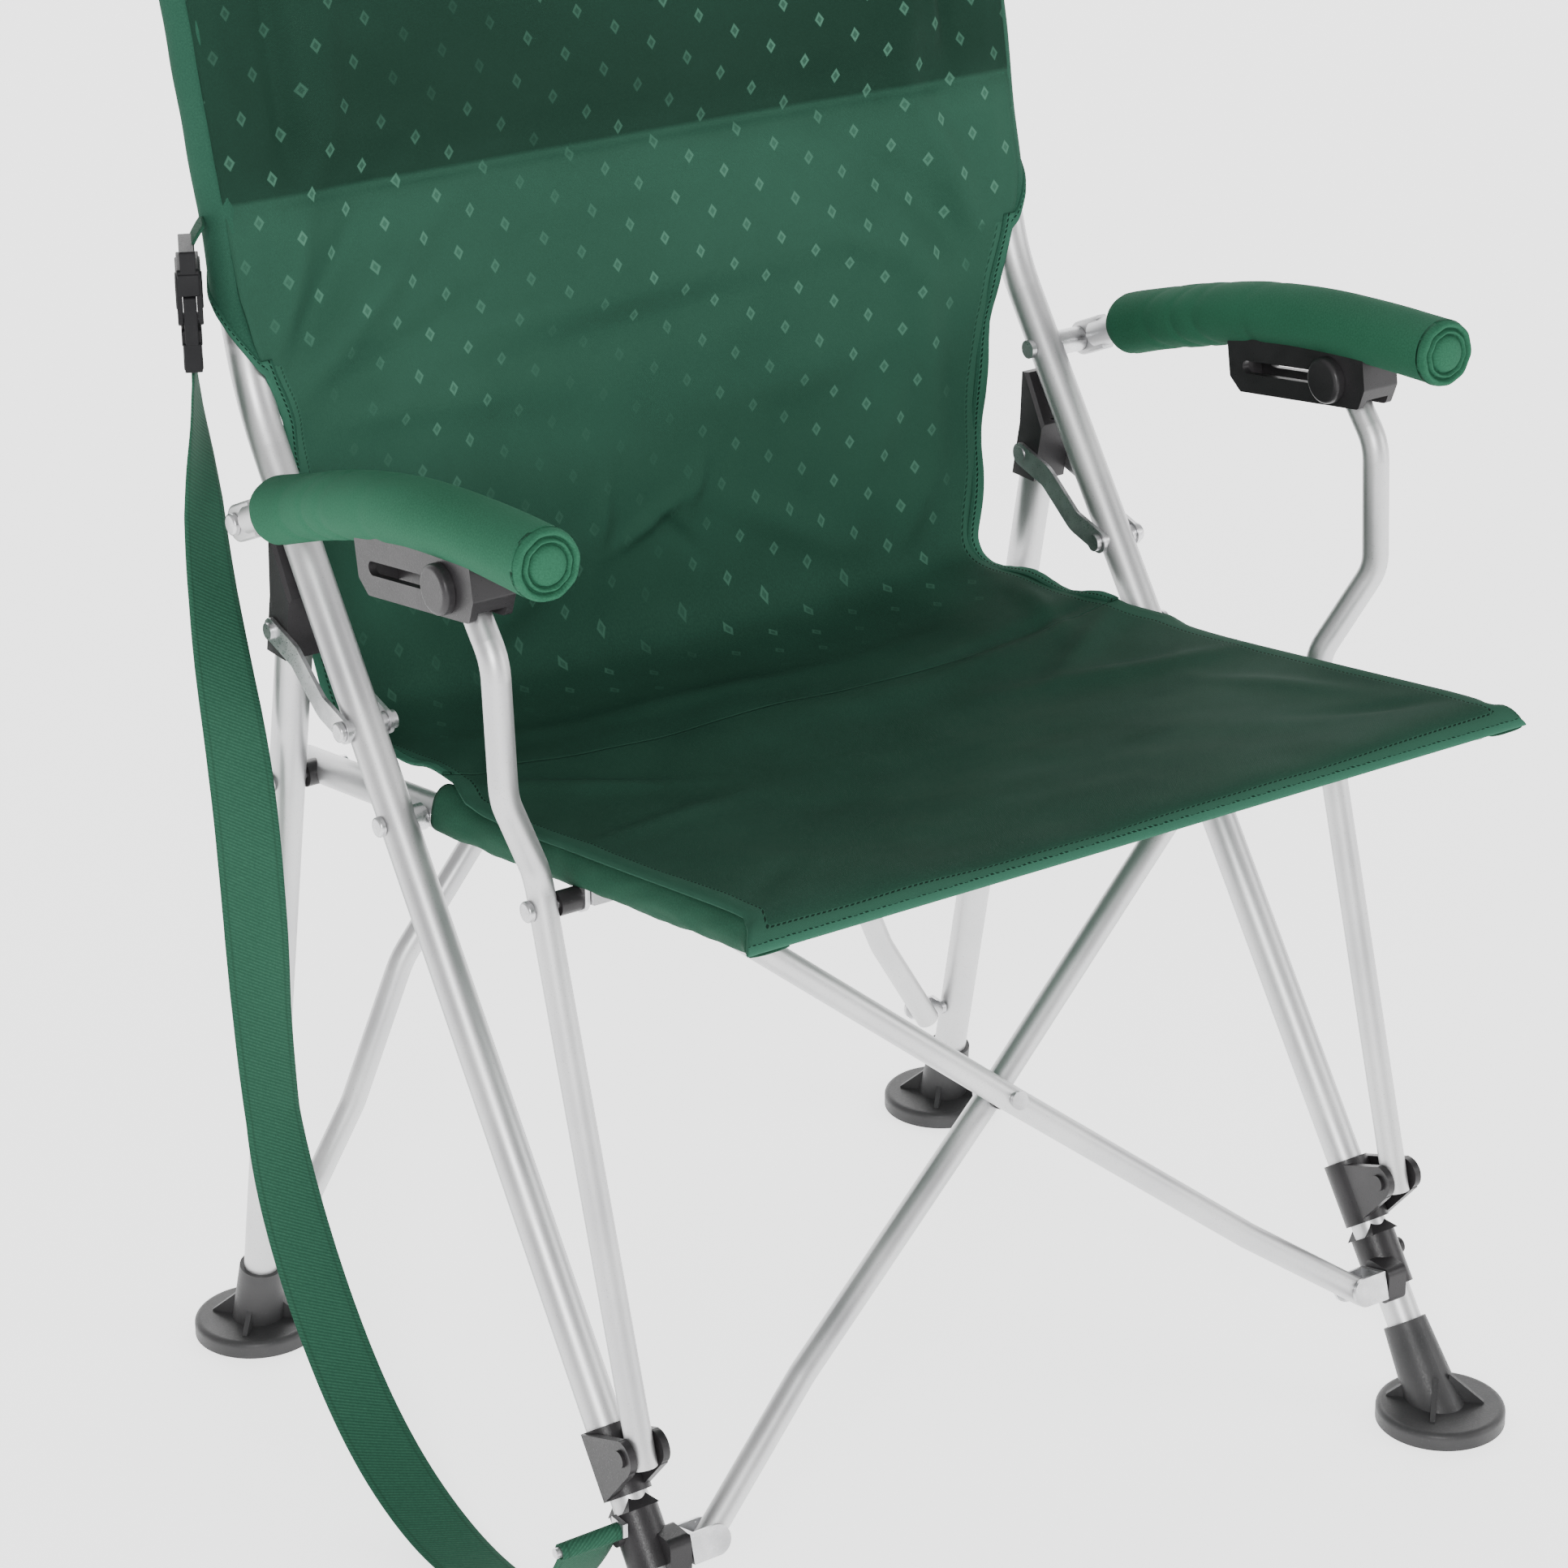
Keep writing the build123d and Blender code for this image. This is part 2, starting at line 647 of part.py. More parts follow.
def make_brace(points, normal, cross=None, cross_r=SHANK_R):
    """Brace tube with a rivet hole at its fork, and one where it crosses its pair."""
    first = (points[0] - points[1]).normalized()
    last = (points[-1] - points[-2]).normalized()
    path = [points[0] + first * 7, *points[1:-1], points[-1] + last * 7]
    with BuildPart() as brace:
        add(bent_tube(path, BRACE_D, 60))
        add(round_bar(points[0] - normal * 15, normal, 30, PIVOT_R), mode=Mode.SUBTRACT)
        if cross:
            add(round_bar(cross - normal * 30, normal, 60, cross_r), mode=Mode.SUBTRACT)
    return brace.part


FRONT_CROSS = front_at(0, FRONT_CROSS_Z)
FRONT_BEND = {"left": (160, 148, -2.5), "right": (160, 137, 2.5)}


def front_brace_path(name):
    """Front brace, named after the side of its low end; the right one crosses in front."""
    side = SIDES[name]
    bend_x, bend_z, bend_offset = FRONT_BEND[name]
    offset_at_cross = CROSS_OFFSET * side
    return [
        front_at(side * FRONT_PIN_LOW_X, FRONT_LOW_PIVOT[1]),
        front_at(side * bend_x, bend_z, bend_offset),
        front_at(0, FRONT_CROSS_Z, offset_at_cross),
        front_at(-side * FRONT_PIN_TOP_X, SUPPORT_PIVOT[1]),
    ]


def make_front_brace(name):
    cross_r = PIVOT_R if name == "right" else SHANK_R
    return make_brace(front_brace_path(name), FRONT_NORMAL, FRONT_CROSS, cross_r)


def make_rear_brace(name):
    """Rear brace, named after the side of its top end; the left one crosses in front."""
    side = SIDES[name]
    shift = -CROSS_OFFSET * side
    points = [
        rear_at(side * REAR_PIN_X, TOP_PIVOT[1]),
        rear_at(0, REAR_CROSS_Z, shift),
        rear_at(-side * 165, 240, shift * 0.5),
        rear_at(-side * 205, 150, shift * 0.15),
        rear_at(-side * REAR_PIN_X, REAR_LOW_PIVOT[1]),
    ]
    return make_brace(points, REAR_NORMAL)


def make_cross_rivet():
    """Rivet through both front braces where they cross."""
    reach = CROSS_OFFSET + BRACE_D / 2 + GAP
    with BuildPart() as rivet:
        add(round_bar(FRONT_CROSS - FRONT_NORMAL * reach, FRONT_NORMAL, 2 * reach, SHANK_R))
        add(round_bar(FRONT_CROSS + FRONT_NORMAL * reach, FRONT_NORMAL, 2.5, 5.5))
        add(round_bar(FRONT_CROSS - FRONT_NORMAL * reach, -FRONT_NORMAL, 2.5, 5.5))
    return rivet.part


def make_cross_spacer():
    """Plastic saddle between the front braces, seated on the rear one."""
    rear_tube = bent_tube(front_brace_path("left"), BRACE_D, 60, wall=0)
    with BuildPart() as spacer:
        add(round_bar(FRONT_CROSS - FRONT_NORMAL * 6, FRONT_NORMAL, 7, 7.5))
        add(rear_tube, mode=Mode.SUBTRACT)
        add(round_bar(FRONT_CROSS - FRONT_NORMAL * 10, FRONT_NORMAL, 20, SHANK_R), mode=Mode.SUBTRACT)
    return spacer.part


# ---------------------------------------------------------------- fabric seat and back

SEAT_HALF = 240
SEAT_SAG = 12
SLEEVE_IN_R = 10.3
SLEEVE_OUT_R = 12
SEAT_FRONT_Y = -304.8
SEAT_LINE = [(SEAT_FRONT_Y, 477), (-140, 466), (39, 456)]
BACK_HALF = 280
BACK_SAG = 14.5
BACK_BENDS = [60, 14, 14, 60, 60]
LOWER_BACK_HALF = 252
SHOULDER_Z = 700
BACK_LINE = [(43, 456), (95, 448), (176, 445), (190, 476), (186.5, 590), (183.5, 668), (240.3, 932)]
POCKET_IN_R = 11.3
POCKET_OUT_R = 13
POCKET_REACH = 14.2


def sagging_panel(line, half, sag, bend):
    """Fabric panel along a side-view line, its middle hanging behind its edges."""
    points = [Vector(0, y, z) for y, z in line]
    with BuildPart() as panel:
        with BuildLine() as path:
            FilletPolyline(*points, radius=bend)
        direction = path.wire() % 0
        with BuildSketch(Plane(origin=points[0], x_dir=(1, 0, 0), z_dir=direction)):
            with BuildLine():
                ThreePointArc((-half, 0), (0, sag), (half, 0))
                Line((half, 0), (half, FABRIC))
                ThreePointArc((half, FABRIC), (0, FABRIC + sag), (-half, FABRIC))
                Line((-half, FABRIC), (-half, 0))
            make_face()
        sweep()
    return panel.part


def make_seat():
    """Seat panel with a tunnel for each rail, open at the rail's lug."""
    with BuildPart() as seat:
        add(sagging_panel(SEAT_LINE, SEAT_HALF, SEAT_SAG, 200))
        for side in SIDES.values():
            front = Vector(side * RAIL_X, *RAIL_FRONT) + RAIL_AHEAD * 12
            add(round_bar(front, -RAIL_AHEAD, 310, SLEEVE_OUT_R))
        for side in SIDES.values():
            inner = Vector(side * RAIL_X, *RAIL_FRONT) + RAIL_AHEAD * GAP
            add(round_bar(inner, -RAIL_AHEAD, 510, SLEEVE_IN_R), mode=Mode.SUBTRACT)
            with BuildSketch(Plane.YZ.offset(side * 228)):
                with Locations((SUPPORT_PIVOT[0] - 2, 434)):
                    Rectangle(54, 30.4)
            extrude(amount=side * 32, mode=Mode.SUBTRACT)
    return seat.part


def make_back():
    """Back panel, with the loose rear of the seat, and a closed pocket over the top of each post."""
    with BuildPart() as back:
        add(sagging_panel(BACK_LINE, BACK_HALF, BACK_SAG, BACK_BENDS))
        for side in SIDES.values():
            lower = Vector(side * (POST_X + 1.6), *on_post(702))
            upper = Vector(side * POST_TOP_X, *on_post(TOP_Z))
            pocket_up = (upper - lower).normalized()
            with BuildSketch(Plane(origin=lower, x_dir=(1, 0, 0), z_dir=pocket_up)):
                Circle(POCKET_OUT_R)
                with Locations((0, -POCKET_REACH / 2)):
                    Rectangle(2 * POCKET_OUT_R, POCKET_REACH)
            extrude(amount=(upper - lower).length + 4)
        for side in SIDES.values():
            upper = Vector(side * POST_TOP_X, *on_post(TOP_Z))
            hollow = [Vector(side * POST_X, *on_post(z)) for z in (500, BEND_Z)] + [upper + UPPER_UP * GAP]
            add(bent_tube(hollow, 2 * POCKET_IN_R, POST_BEND, wall=0), mode=Mode.SUBTRACT)
            with BuildSketch(Plane.YZ.offset(side * LOWER_BACK_HALF)):
                with Locations((150, SHOULDER_Z - 170)):
                    Rectangle(300, 340)
            extrude(amount=side * 60, mode=Mode.SUBTRACT)
            with BuildSketch(Plane.YZ.offset(side * 228)):
                with Locations((TOP_PIVOT[0] + 10, TOP_PIVOT[1])):
                    Rectangle(42, 40)
            extrude(amount=side * 42, mode=Mode.SUBTRACT)
    return back.part


# ---------------------------------------------------------------- carry strap

STRAP_X = -308
STRAP_WIDTH = 38
STRAP_THICK = 2
STRAP_ROUTE = [
    (196, 672),
    (197, 590),
    (188, 512),
    (167, 428),
    (161, 340),
    (160, 258),
    (150, 180),
    (104, 98),
    (40, 36),
    (-40, 8),
    (-118, 14),
    (-177, 53),
    (-199, 92),
]
ANCHOR_R = 3


def strap_radii(route):
    """As large an arc at every point as the two runs beside it allow."""
    radii = []
    for before, here, after in zip(route, route[1:], route[2:]):
        run_in = Vector(0, here[0] - before[0], here[1] - before[1])
        run_out = Vector(0, after[0] - here[0], after[1] - here[1])
        turn = radians(run_in.get_angle(run_out))
        radii.append(0.45 * min(run_in.length, run_out.length) / tan(turn / 2))
    return radii


def make_strap():
    radii = strap_radii(STRAP_ROUTE)
    print("strap radii", [round(radius) for radius in radii])
    points = [Vector(STRAP_X, y, z) for y, z in STRAP_ROUTE]
    with BuildPart() as strap:
        with BuildLine() as path:
            FilletPolyline(*points, radius=radii)
        with BuildSketch(Plane(origin=points[0], x_dir=(1, 0, 0), z_dir=path.wire() % 0)):
            Rectangle(STRAP_WIDTH, STRAP_THICK)
        sweep()
    length = path.wire().length
    print("strap length", round(length), "volume ratio", strap.part.volume / (length * STRAP_WIDTH * STRAP_THICK))
    return strap.part


BUCKLE_Y = STRAP_ROUTE[0][0]
BUCKLE_LOW = STRAP_ROUTE[0][1]


def make_buckle_plug():
    """Male half of the side-release buckle, on the strap's upper end."""
    with BuildPart() as plug:
        with BuildSketch(Plane.YZ.offset(STRAP_X - 6)):
            with Locations((BUCKLE_Y, BUCKLE_LOW + 11.3)):
                RectangleRounded(40, 22, 4)
            with Locations((BUCKLE_Y - 9, BUCKLE_LOW + 30), (BUCKLE_Y + 9, BUCKLE_LOW + 30)):
                RectangleRounded(6, 24, 2)
        extrude(amount=12)
        with BuildSketch(Plane.YZ.offset(STRAP_X - 7)):
            with Locations((BUCKLE_Y, BUCKLE_LOW + 8)):
                Rectangle(30, 5)
        extrude(amount=4, mode=Mode.SUBTRACT)
    return plug.part


def make_buckle_socket():
    """Female half, sewn to the outside of the back's near edge."""
    low = BUCKLE_LOW + 22.4
    with BuildPart() as socket:
        with BuildSketch(Plane.YZ.offset(STRAP_X - 8)):
            with Locations((BUCKLE_Y, low + 22)):
                RectangleRounded(44, 44, 7)
        extrude(amount=16)
        with BuildSketch(Plane.YZ.offset(STRAP_X - 6.4)):
            with Locations((BUCKLE_Y, low + 11)):
                Rectangle(30, 24)
        extrude(amount=12.8, mode=Mode.SUBTRACT)
    return socket.part


def make_strap_anchor():
    """Bar on the collar that the strap's lower end is sewn round."""
    y, z = STRAP_ROUTE[-1]
    with BuildPart() as anchor:
        add(crosswise(-1, POST_X + 17.2, -STRAP_X + STRAP_WIDTH / 2 + 3, (y - 1.4, z + 4), ANCHOR_R))
        with BuildSketch(Plane.YZ.offset(-POST_X - 14.2)):
            with BuildLine():
                Polyline((y - 7, z + 1.5), (y + 5, z + 1.5), (y + 5, z + 10), (y - 7, z + 10), close=True)
            make_face()
        extrude(amount=-3)
    return anchor.part


# ---------------------------------------------------------------- build and write

for name, side in SIDES.items():
    bracket = make_bracket(side)
    pieces = {
        "post": make_post(side),
        "post_foot": make_foot(side, POST_FOOT_Y, POST_UP, POST_D),
        "post_collar": make_collar(side),
        "post_bolts": make_post_bolts(side),
        "post_spacers": make_post_spacers(side),
        "hub": make_hub(side),
        "leg": make_leg(side),
        "leg_foot": make_foot(side, LEG_FOOT_Y, LEG_UP, LEG_D),
        "leg_cap": make_leg_cap(side),
        "rail": make_rail(side),
        "rail_lug": make_rail_lug(side),
        "rail_bolts": make_rail_bolts(side),
        "rail_spacers": make_rail_spacers(side),
        "links": make_links(side),
        "arm_support": make_support(side),
        "arm_tube": make_arm(side),
        "arm_bracket": bracket,
        "arm_pad": make_pad(side, bracket),
        "arm_knob": make_knob(side),
        "front_low_clevis": make_clevis(
            side, front_at(side * FRONT_PIN_LOW_X, FRONT_LOW_PIVOT[1]), FRONT_NORMAL, STUD_R, 6
        ),
        "front_top_tab": make_tab(
            side, front_at(side * FRONT_PIN_TOP_X, SUPPORT_PIVOT[1]), FRONT_NORMAL, CLEVIS_WEB, 0, 1
        ),
        "rear_top_clevis": make_clevis(
            side, rear_at(side * REAR_PIN_X, TOP_PIVOT[1]), REAR_NORMAL, SHANK_R, 9, 10.2
        ),
        "rear_low_tab": make_tab(
            side, rear_at(side * REAR_PIN_X, REAR_LOW_PIVOT[1]), REAR_NORMAL, (257, 260), 270, -1
        ),
        "front_brace": make_front_brace(name),
        "rear_brace": make_rear_brace(name),
    }
    for piece_name, piece in pieces.items():
        save(piece, f"{piece_name}_{name}")

save(make_cross_rivet(), "front_cross_rivet")
save(make_cross_spacer(), "front_cross_spacer")
save(make_seat(), "seat")
save(make_back(), "backrest")
save(make_strap(), "carry_strap")
save(make_buckle_plug(), "buckle_plug")
save(make_buckle_socket(), "buckle_socket")
save(make_strap_anchor(), "strap_anchor")
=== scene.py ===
import math

import bmesh
import bpy
import numpy as np
from mathutils import Matrix, Vector, noise


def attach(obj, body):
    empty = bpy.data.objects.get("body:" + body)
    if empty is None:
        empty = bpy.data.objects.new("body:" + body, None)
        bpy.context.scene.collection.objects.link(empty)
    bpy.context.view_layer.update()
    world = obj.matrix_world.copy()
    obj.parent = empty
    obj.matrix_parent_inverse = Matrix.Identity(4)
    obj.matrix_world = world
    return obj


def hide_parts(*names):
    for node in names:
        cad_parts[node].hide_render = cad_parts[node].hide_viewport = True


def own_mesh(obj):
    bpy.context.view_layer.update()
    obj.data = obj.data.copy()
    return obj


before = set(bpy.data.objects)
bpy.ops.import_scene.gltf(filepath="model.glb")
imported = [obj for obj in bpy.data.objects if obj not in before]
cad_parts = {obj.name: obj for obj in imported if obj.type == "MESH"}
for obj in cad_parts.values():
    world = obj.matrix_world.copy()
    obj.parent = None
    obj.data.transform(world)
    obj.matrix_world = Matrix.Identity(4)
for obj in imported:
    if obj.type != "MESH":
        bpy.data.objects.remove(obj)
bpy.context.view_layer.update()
SIDES = {"left": -1, "right": 1}


# ---------------------------------------------------------------- camera, light and floor

def add_camera():
    """Three-quarter front view from a little above the seat, with a long lens."""
    azimuth, elevation, roll = math.radians(-34.781), math.radians(22.066), math.radians(-0.364)
    target = Vector((0, -0.008, 0.45))
    back = Vector((
        math.sin(azimuth) * math.cos(elevation),
        -math.cos(azimuth) * math.cos(elevation),
        math.sin(elevation),
    ))
    level = Vector((math.cos(azimuth), math.sin(azimuth), 0))
    up = back.cross(level)
    right = level * math.cos(roll) + up * math.sin(roll)
    up = back.cross(right)
    data = bpy.data.cameras.new("camera")
    data.lens = 101.15
    data.sensor_width = 36
    data.shift_x = -0.0381
    data.shift_y = -0.0431
    data.clip_end = 50
    camera = bpy.data.objects.new("camera", data)
    camera.matrix_world = Matrix((
        (right.x, up.x, back.x, 0),
        (right.y, up.y, back.y, 0),
        (right.z, up.z, back.z, 0),
        (0, 0, 0, 1),
    ))
    camera.location = target + back * 2.6032
    bpy.context.collection.objects.link(camera)
    bpy.context.scene.camera = camera


add_camera()


def add_light(name, place, aim, size, power):
    data = bpy.data.lights.new(name, "AREA")
    data.shape = "DISK"
    data.size = size
    data.energy = power
    light = bpy.data.objects.new(name, data)
    light.location = place
    light.rotation_euler = (Vector(aim) - Vector(place)).to_track_quat("-Z", "Y").to_euler()
    bpy.context.collection.objects.link(light)


def add_studio():
    """Soft key light at the left front, weaker fill and rim, and a grey surround."""
    add_light("key", (-2.3, -3.0, 2.1), (0, 0, 0.55), 1.3, 112)
    add_light("fill", (2.6, -2.4, 1.4), (0, 0, 0.5), 1.8, 40)
    add_light("rim", (1.2, 2.6, 2.4), (0, 0, 0.6), 1.2, 14)
    world = bpy.data.worlds.new("studio")
    world.use_nodes = True
    background = world.node_tree.nodes["Background"]
    background.inputs["Color"].default_value = (0.84, 0.84, 0.84, 1)
    background.inputs["Strength"].default_value = 0.82
    bpy.context.scene.world = world


# ---------------------------------------------------------------- mesh helpers

def spline_points(points, order):
    """Points of the NURBS line that those control points shape."""
    curve = bpy.data.curves.new("line", "CURVE")
    curve.dimensions = "3D"
    curve.resolution_u = 24
    spline = curve.splines.new("NURBS")
    spline.points.add(len(points) - 1)
    for slot, point in zip(spline.points, points):
        slot.co = (*point, 1)
    spline.order_u = order
    spline.use_endpoint_u = True
    holder = bpy.data.objects.new("line", curve)
    mesh = bpy.data.meshes.new_from_object(holder)
    line = np.array([vertex.co for vertex in mesh.vertices])
    bpy.data.objects.remove(holder)
    bpy.data.curves.remove(curve)
    bpy.data.meshes.remove(mesh)
    return line


def smooth_line(points, samples):
    """Evenly spaced points along a smooth line, for cloth shapes."""
    line = spline_points(points, 4)
    steps = np.linalg.norm(np.diff(line, axis=0), axis=1)
    along = np.concatenate([[0], np.cumsum(steps)])
    wanted = np.linspace(0, along[-1], samples)
    return np.stack([np.interp(wanted, along, line[:, k]) for k in range(3)], axis=1)


def add_mesh(name, vertices, faces, material, cloth=None):
    """Mesh object; cloth holds each vertex's flat place and distance to the nearest hem, in metres."""
    mesh = bpy.data.meshes.new(name)
    mesh.from_pydata([tuple(v) for v in vertices], [], faces)
    mesh.update()
    if cloth is not None:
        attribute = mesh.attributes.new("cloth", "FLOAT_VECTOR", "POINT")
        attribute.data.foreach_set("vector", np.asarray(cloth, float).ravel())
    mesh.materials.append(material)
    mesh.polygons.foreach_set("use_smooth", [True] * len(mesh.polygons))
    obj = bpy.data.objects.new(name, mesh)
    bpy.context.collection.objects.link(obj)
    return obj


def grid_faces(rows, columns, close_columns=False):
    """Four-sided faces between neighbours of a rows x columns grid of vertices."""
    faces = []
    for row in range(rows - 1):
        for column in range(columns if close_columns else columns - 1):
            following = (column + 1) % columns
            faces.append((
                row * columns + column,
                row * columns + following,
                (row + 1) * columns + following,
                (row + 1) * columns + column,
            ))
    return faces


def add_grid(name, places, material, cloth=None, close_columns=False):
    """Surface through a rows x columns x 3 array of places."""
    rows, columns = places.shape[:2]
    flat = None if cloth is None else cloth.reshape(-1, 3)
    return add_mesh(name, places.reshape(-1, 3), grid_faces(rows, columns, close_columns), material, flat)


def thicken(obj, thickness, offset=0.0):
    """Gives a surface its thickness; offset -1 or 1 puts it all on one side."""
    modifier = obj.modifiers.new("thickness", "SOLIDIFY")
    modifier.thickness = thickness
    modifier.offset = offset
    modifier.use_even_offset = False
    apply_modifiers(obj)


def apply_modifiers(obj):
    """Swaps the mesh for the one that its modifiers make."""
    graph = bpy.context.evaluated_depsgraph_get()
    shaped = obj.evaluated_get(graph)
    mesh = bpy.data.meshes.new_from_object(shaped, preserve_all_data_layers=True, depsgraph=graph)
    obj.modifiers.clear()
    obj.data = mesh


def fold(x, z, at, angle, length, width, depth):
    """Height of one long soft crease in cloth at places (x, z)."""
    turn = math.radians(angle)
    along = (x - at[0]) * math.cos(turn) + (z - at[1]) * math.sin(turn)
    across = -(x - at[0]) * math.sin(turn) + (z - at[1]) * math.cos(turn)
    return depth * np.exp(-((along / length) ** 2)) * np.exp(-((across / width) ** 2))


def rumple(x, z, scale, depth, seed):
    """Gentle uneven waves over a cloth."""
    flat_x, flat_z = np.ravel(x), np.ravel(z)
    values = [noise.noise(Vector((a * scale + seed, b * scale, seed * 1.7))) for a, b in zip(flat_x, flat_z)]
    return depth * np.reshape(values, np.shape(x))


def ease(value, low, high):
    """0 below low, 1 above high, smooth between."""
    t = np.clip((value - low) / (high - low), 0, 1)
    return t * t * (3 - 2 * t)


# ---------------------------------------------------------------- materials

def new_material(name, colour, roughness, metallic=0.0, specular=0.5):
    material = bpy.data.materials.new(name)
    material.use_nodes = True
    shader = material.node_tree.nodes["Principled BSDF"]
    shader.inputs["Base Color"].default_value = (*colour, 1)
    shader.inputs["Roughness"].default_value = roughness
    shader.inputs["Metallic"].default_value = metallic
    shader.inputs["Specular IOR Level"].default_value = specular
    return material, material.node_tree, shader


def math_node(tree, operation, first, second=None):
    """Output of a Math node; an input may be a number or a socket."""
    node = tree.nodes.new("ShaderNodeMath")
    node.operation = operation
    for slot, value in enumerate((first, second)):
        if value is None:
            continue
        if isinstance(value, (int, float)):
            node.inputs[slot].default_value = value
        else:
            tree.links.new(value, node.inputs[slot])
    return node.outputs[0]


def noise_node(tree, vector, scale, detail=3, roughness=0.5):
    node = tree.nodes.new("ShaderNodeTexNoise")
    node.inputs["Scale"].default_value = scale
    node.inputs["Detail"].default_value = detail
    node.inputs["Roughness"].default_value = roughness
    tree.links.new(vector, node.inputs["Vector"])
    return node.outputs["Fac"]


def mix_colour(tree, factor, first, second):
    """Mix of two colours, each a tuple or a socket."""
    node = tree.nodes.new("ShaderNodeMix")
    node.data_type = "RGBA"
    tree.links.new(factor, node.inputs["Factor"])
    for slot, value in ((6, first), (7, second)):
        if isinstance(value, tuple):
            node.inputs[slot].default_value = (*value, 1)
        else:
            tree.links.new(value, node.inputs[slot])
    return node.outputs[2]


def add_bump(tree, shader, height, strength, distance):
    bump = tree.nodes.new("ShaderNodeBump")
    bump.inputs["Strength"].default_value = strength
    bump.inputs["Distance"].default_value = distance
    tree.links.new(height, bump.inputs["Height"])
    tree.links.new(bump.outputs["Normal"], shader.inputs["Normal"])


def object_place(tree):
    return tree.nodes.new("ShaderNodeTexCoord").outputs["Object"]


def ramp(tree, value, low, high):
    """Straight ramp from 0 at low to 1 at high."""
    node = tree.nodes.new("ShaderNodeMapRange")
    node.inputs["From Min"].default_value = low
    node.inputs["From Max"].default_value = high
    tree.links.new(value, node.inputs["Value"])
    return node.outputs["Result"]


def cloth_place(tree):
    """Flat place on the cloth: across, along, and distance in from the hem."""
    attribute = tree.nodes.new("ShaderNodeAttribute")
    attribute.attribute_name = "cloth"
    split = tree.nodes.new("ShaderNodeSeparateXYZ")
    tree.links.new(attribute.outputs["Vector"], split.inputs[0])
    return attribute.outputs["Vector"], split.outputs


def weave(tree, across, along, pitch):
    """Plain weave height from two sets of threads."""
    warp = math_node(tree, "SINE", math_node(tree, "MULTIPLY", across, 2 * math.pi / pitch))
    weft = math_node(tree, "SINE", math_node(tree, "MULTIPLY", along, 2 * math.pi / pitch))
    return math_node(tree, "MULTIPLY", warp, weft)


# Printed lozenges: an oblique lattice, metres across and along the cloth
DOT_STEP_A = (0.0240, 0.0125)
DOT_STEP_B = (-0.0119, 0.0236)
DOT_RADIUS = 0.0040
LOZENGE_NARROW = 1.2
LOZENGE_TALL = 0.85
DOT_COLOUR = (0.085, 0.215, 0.148)
# Places along the cloth are 0 at the crease between seat and back and fall going up the back
SEAM_ALONG = -0.3109
SEAM_SOFT = 0.0015
# Hem band, its stitch row and the stitches' pitch, metres in from the edge
HEM_BAND = 0.0125
STITCH_ROW = 0.0115
STITCH_PITCH = 0.0036
THREAD_PITCH = 0.0011


def dots(tree, across, along):
    """Distance from the nearest lozenge's middle, on the lattice."""
    (ax, ay), (bx, by) = DOT_STEP_A, DOT_STEP_B
    scale = 1 / (ax * by - ay * bx)
    first = math_node(
        tree, "ADD",
        math_node(tree, "MULTIPLY", across, by * scale),
        math_node(tree, "MULTIPLY", along, -bx * scale),
    )
    second = math_node(
        tree, "ADD",
        math_node(tree, "MULTIPLY", across, -ay * scale),
        math_node(tree, "MULTIPLY", along, ax * scale),
    )
    first = math_node(tree, "SUBTRACT", math_node(tree, "FRACT", first), 0.5)
    second = math_node(tree, "SUBTRACT", math_node(tree, "FRACT", second), 0.5)
    x = math_node(
        tree, "ADD", math_node(tree, "MULTIPLY", first, ax), math_node(tree, "MULTIPLY", second, bx),
    )
    y = math_node(
        tree, "ADD", math_node(tree, "MULTIPLY", first, ay), math_node(tree, "MULTIPLY", second, by),
    )
    return math_node(
        tree, "ADD",
        math_node(tree, "ABSOLUTE", math_node(tree, "MULTIPLY", x, LOZENGE_NARROW)),
        math_node(tree, "ABSOLUTE", math_node(tree, "MULTIPLY", y, LOZENGE_TALL)),
    )


def paint_sling_light_and_shade(tree, colour, along, dark, light):
    """Painted shade on the seat, painted light on the lower back, and painted shadow on the cloth above the
    back's cross seam.
    """
    # Painted shade: the seat's colour is darkened.
    painted_seat_shade = math_node(tree, "MULTIPLY", ramp(tree, along, -0.02, 0.14), 0.22)
    colour = mix_colour(tree, painted_seat_shade, colour, tuple(c * 0.62 for c in dark))
    # Painted light: the lower back below the cross seam is made paler.
    under_seam = ramp(tree, along, SEAM_ALONG - 0.02, SEAM_ALONG + 0.02)
    pale = math_node(tree, "MULTIPLY", ramp(tree, along, 0.01, -0.05), under_seam)
    colour = mix_colour(tree, math_node(tree, "MULTIPLY", pale, 0.38), colour, tuple(c * 1.75 for c in light))
    # Painted shadow: the cloth above the cross seam is darkened, most just above the seam and less further
    # up.
    over_seam = ramp(tree, along, SEAM_ALONG + SEAM_SOFT, SEAM_ALONG - SEAM_SOFT)
    painted_shadow_near_seam = math_node(tree, "MULTIPLY", over_seam, ramp(tree, along, -0.60, -0.34))
    upper = math_node(
        tree, "ADD",
        math_node(tree, "MULTIPLY", painted_shadow_near_seam, 0.30),
        math_node(tree, "MULTIPLY", over_seam, 0.35),
    )
    return mix_colour(tree, upper, colour, tuple(c * 0.45 for c in dark))


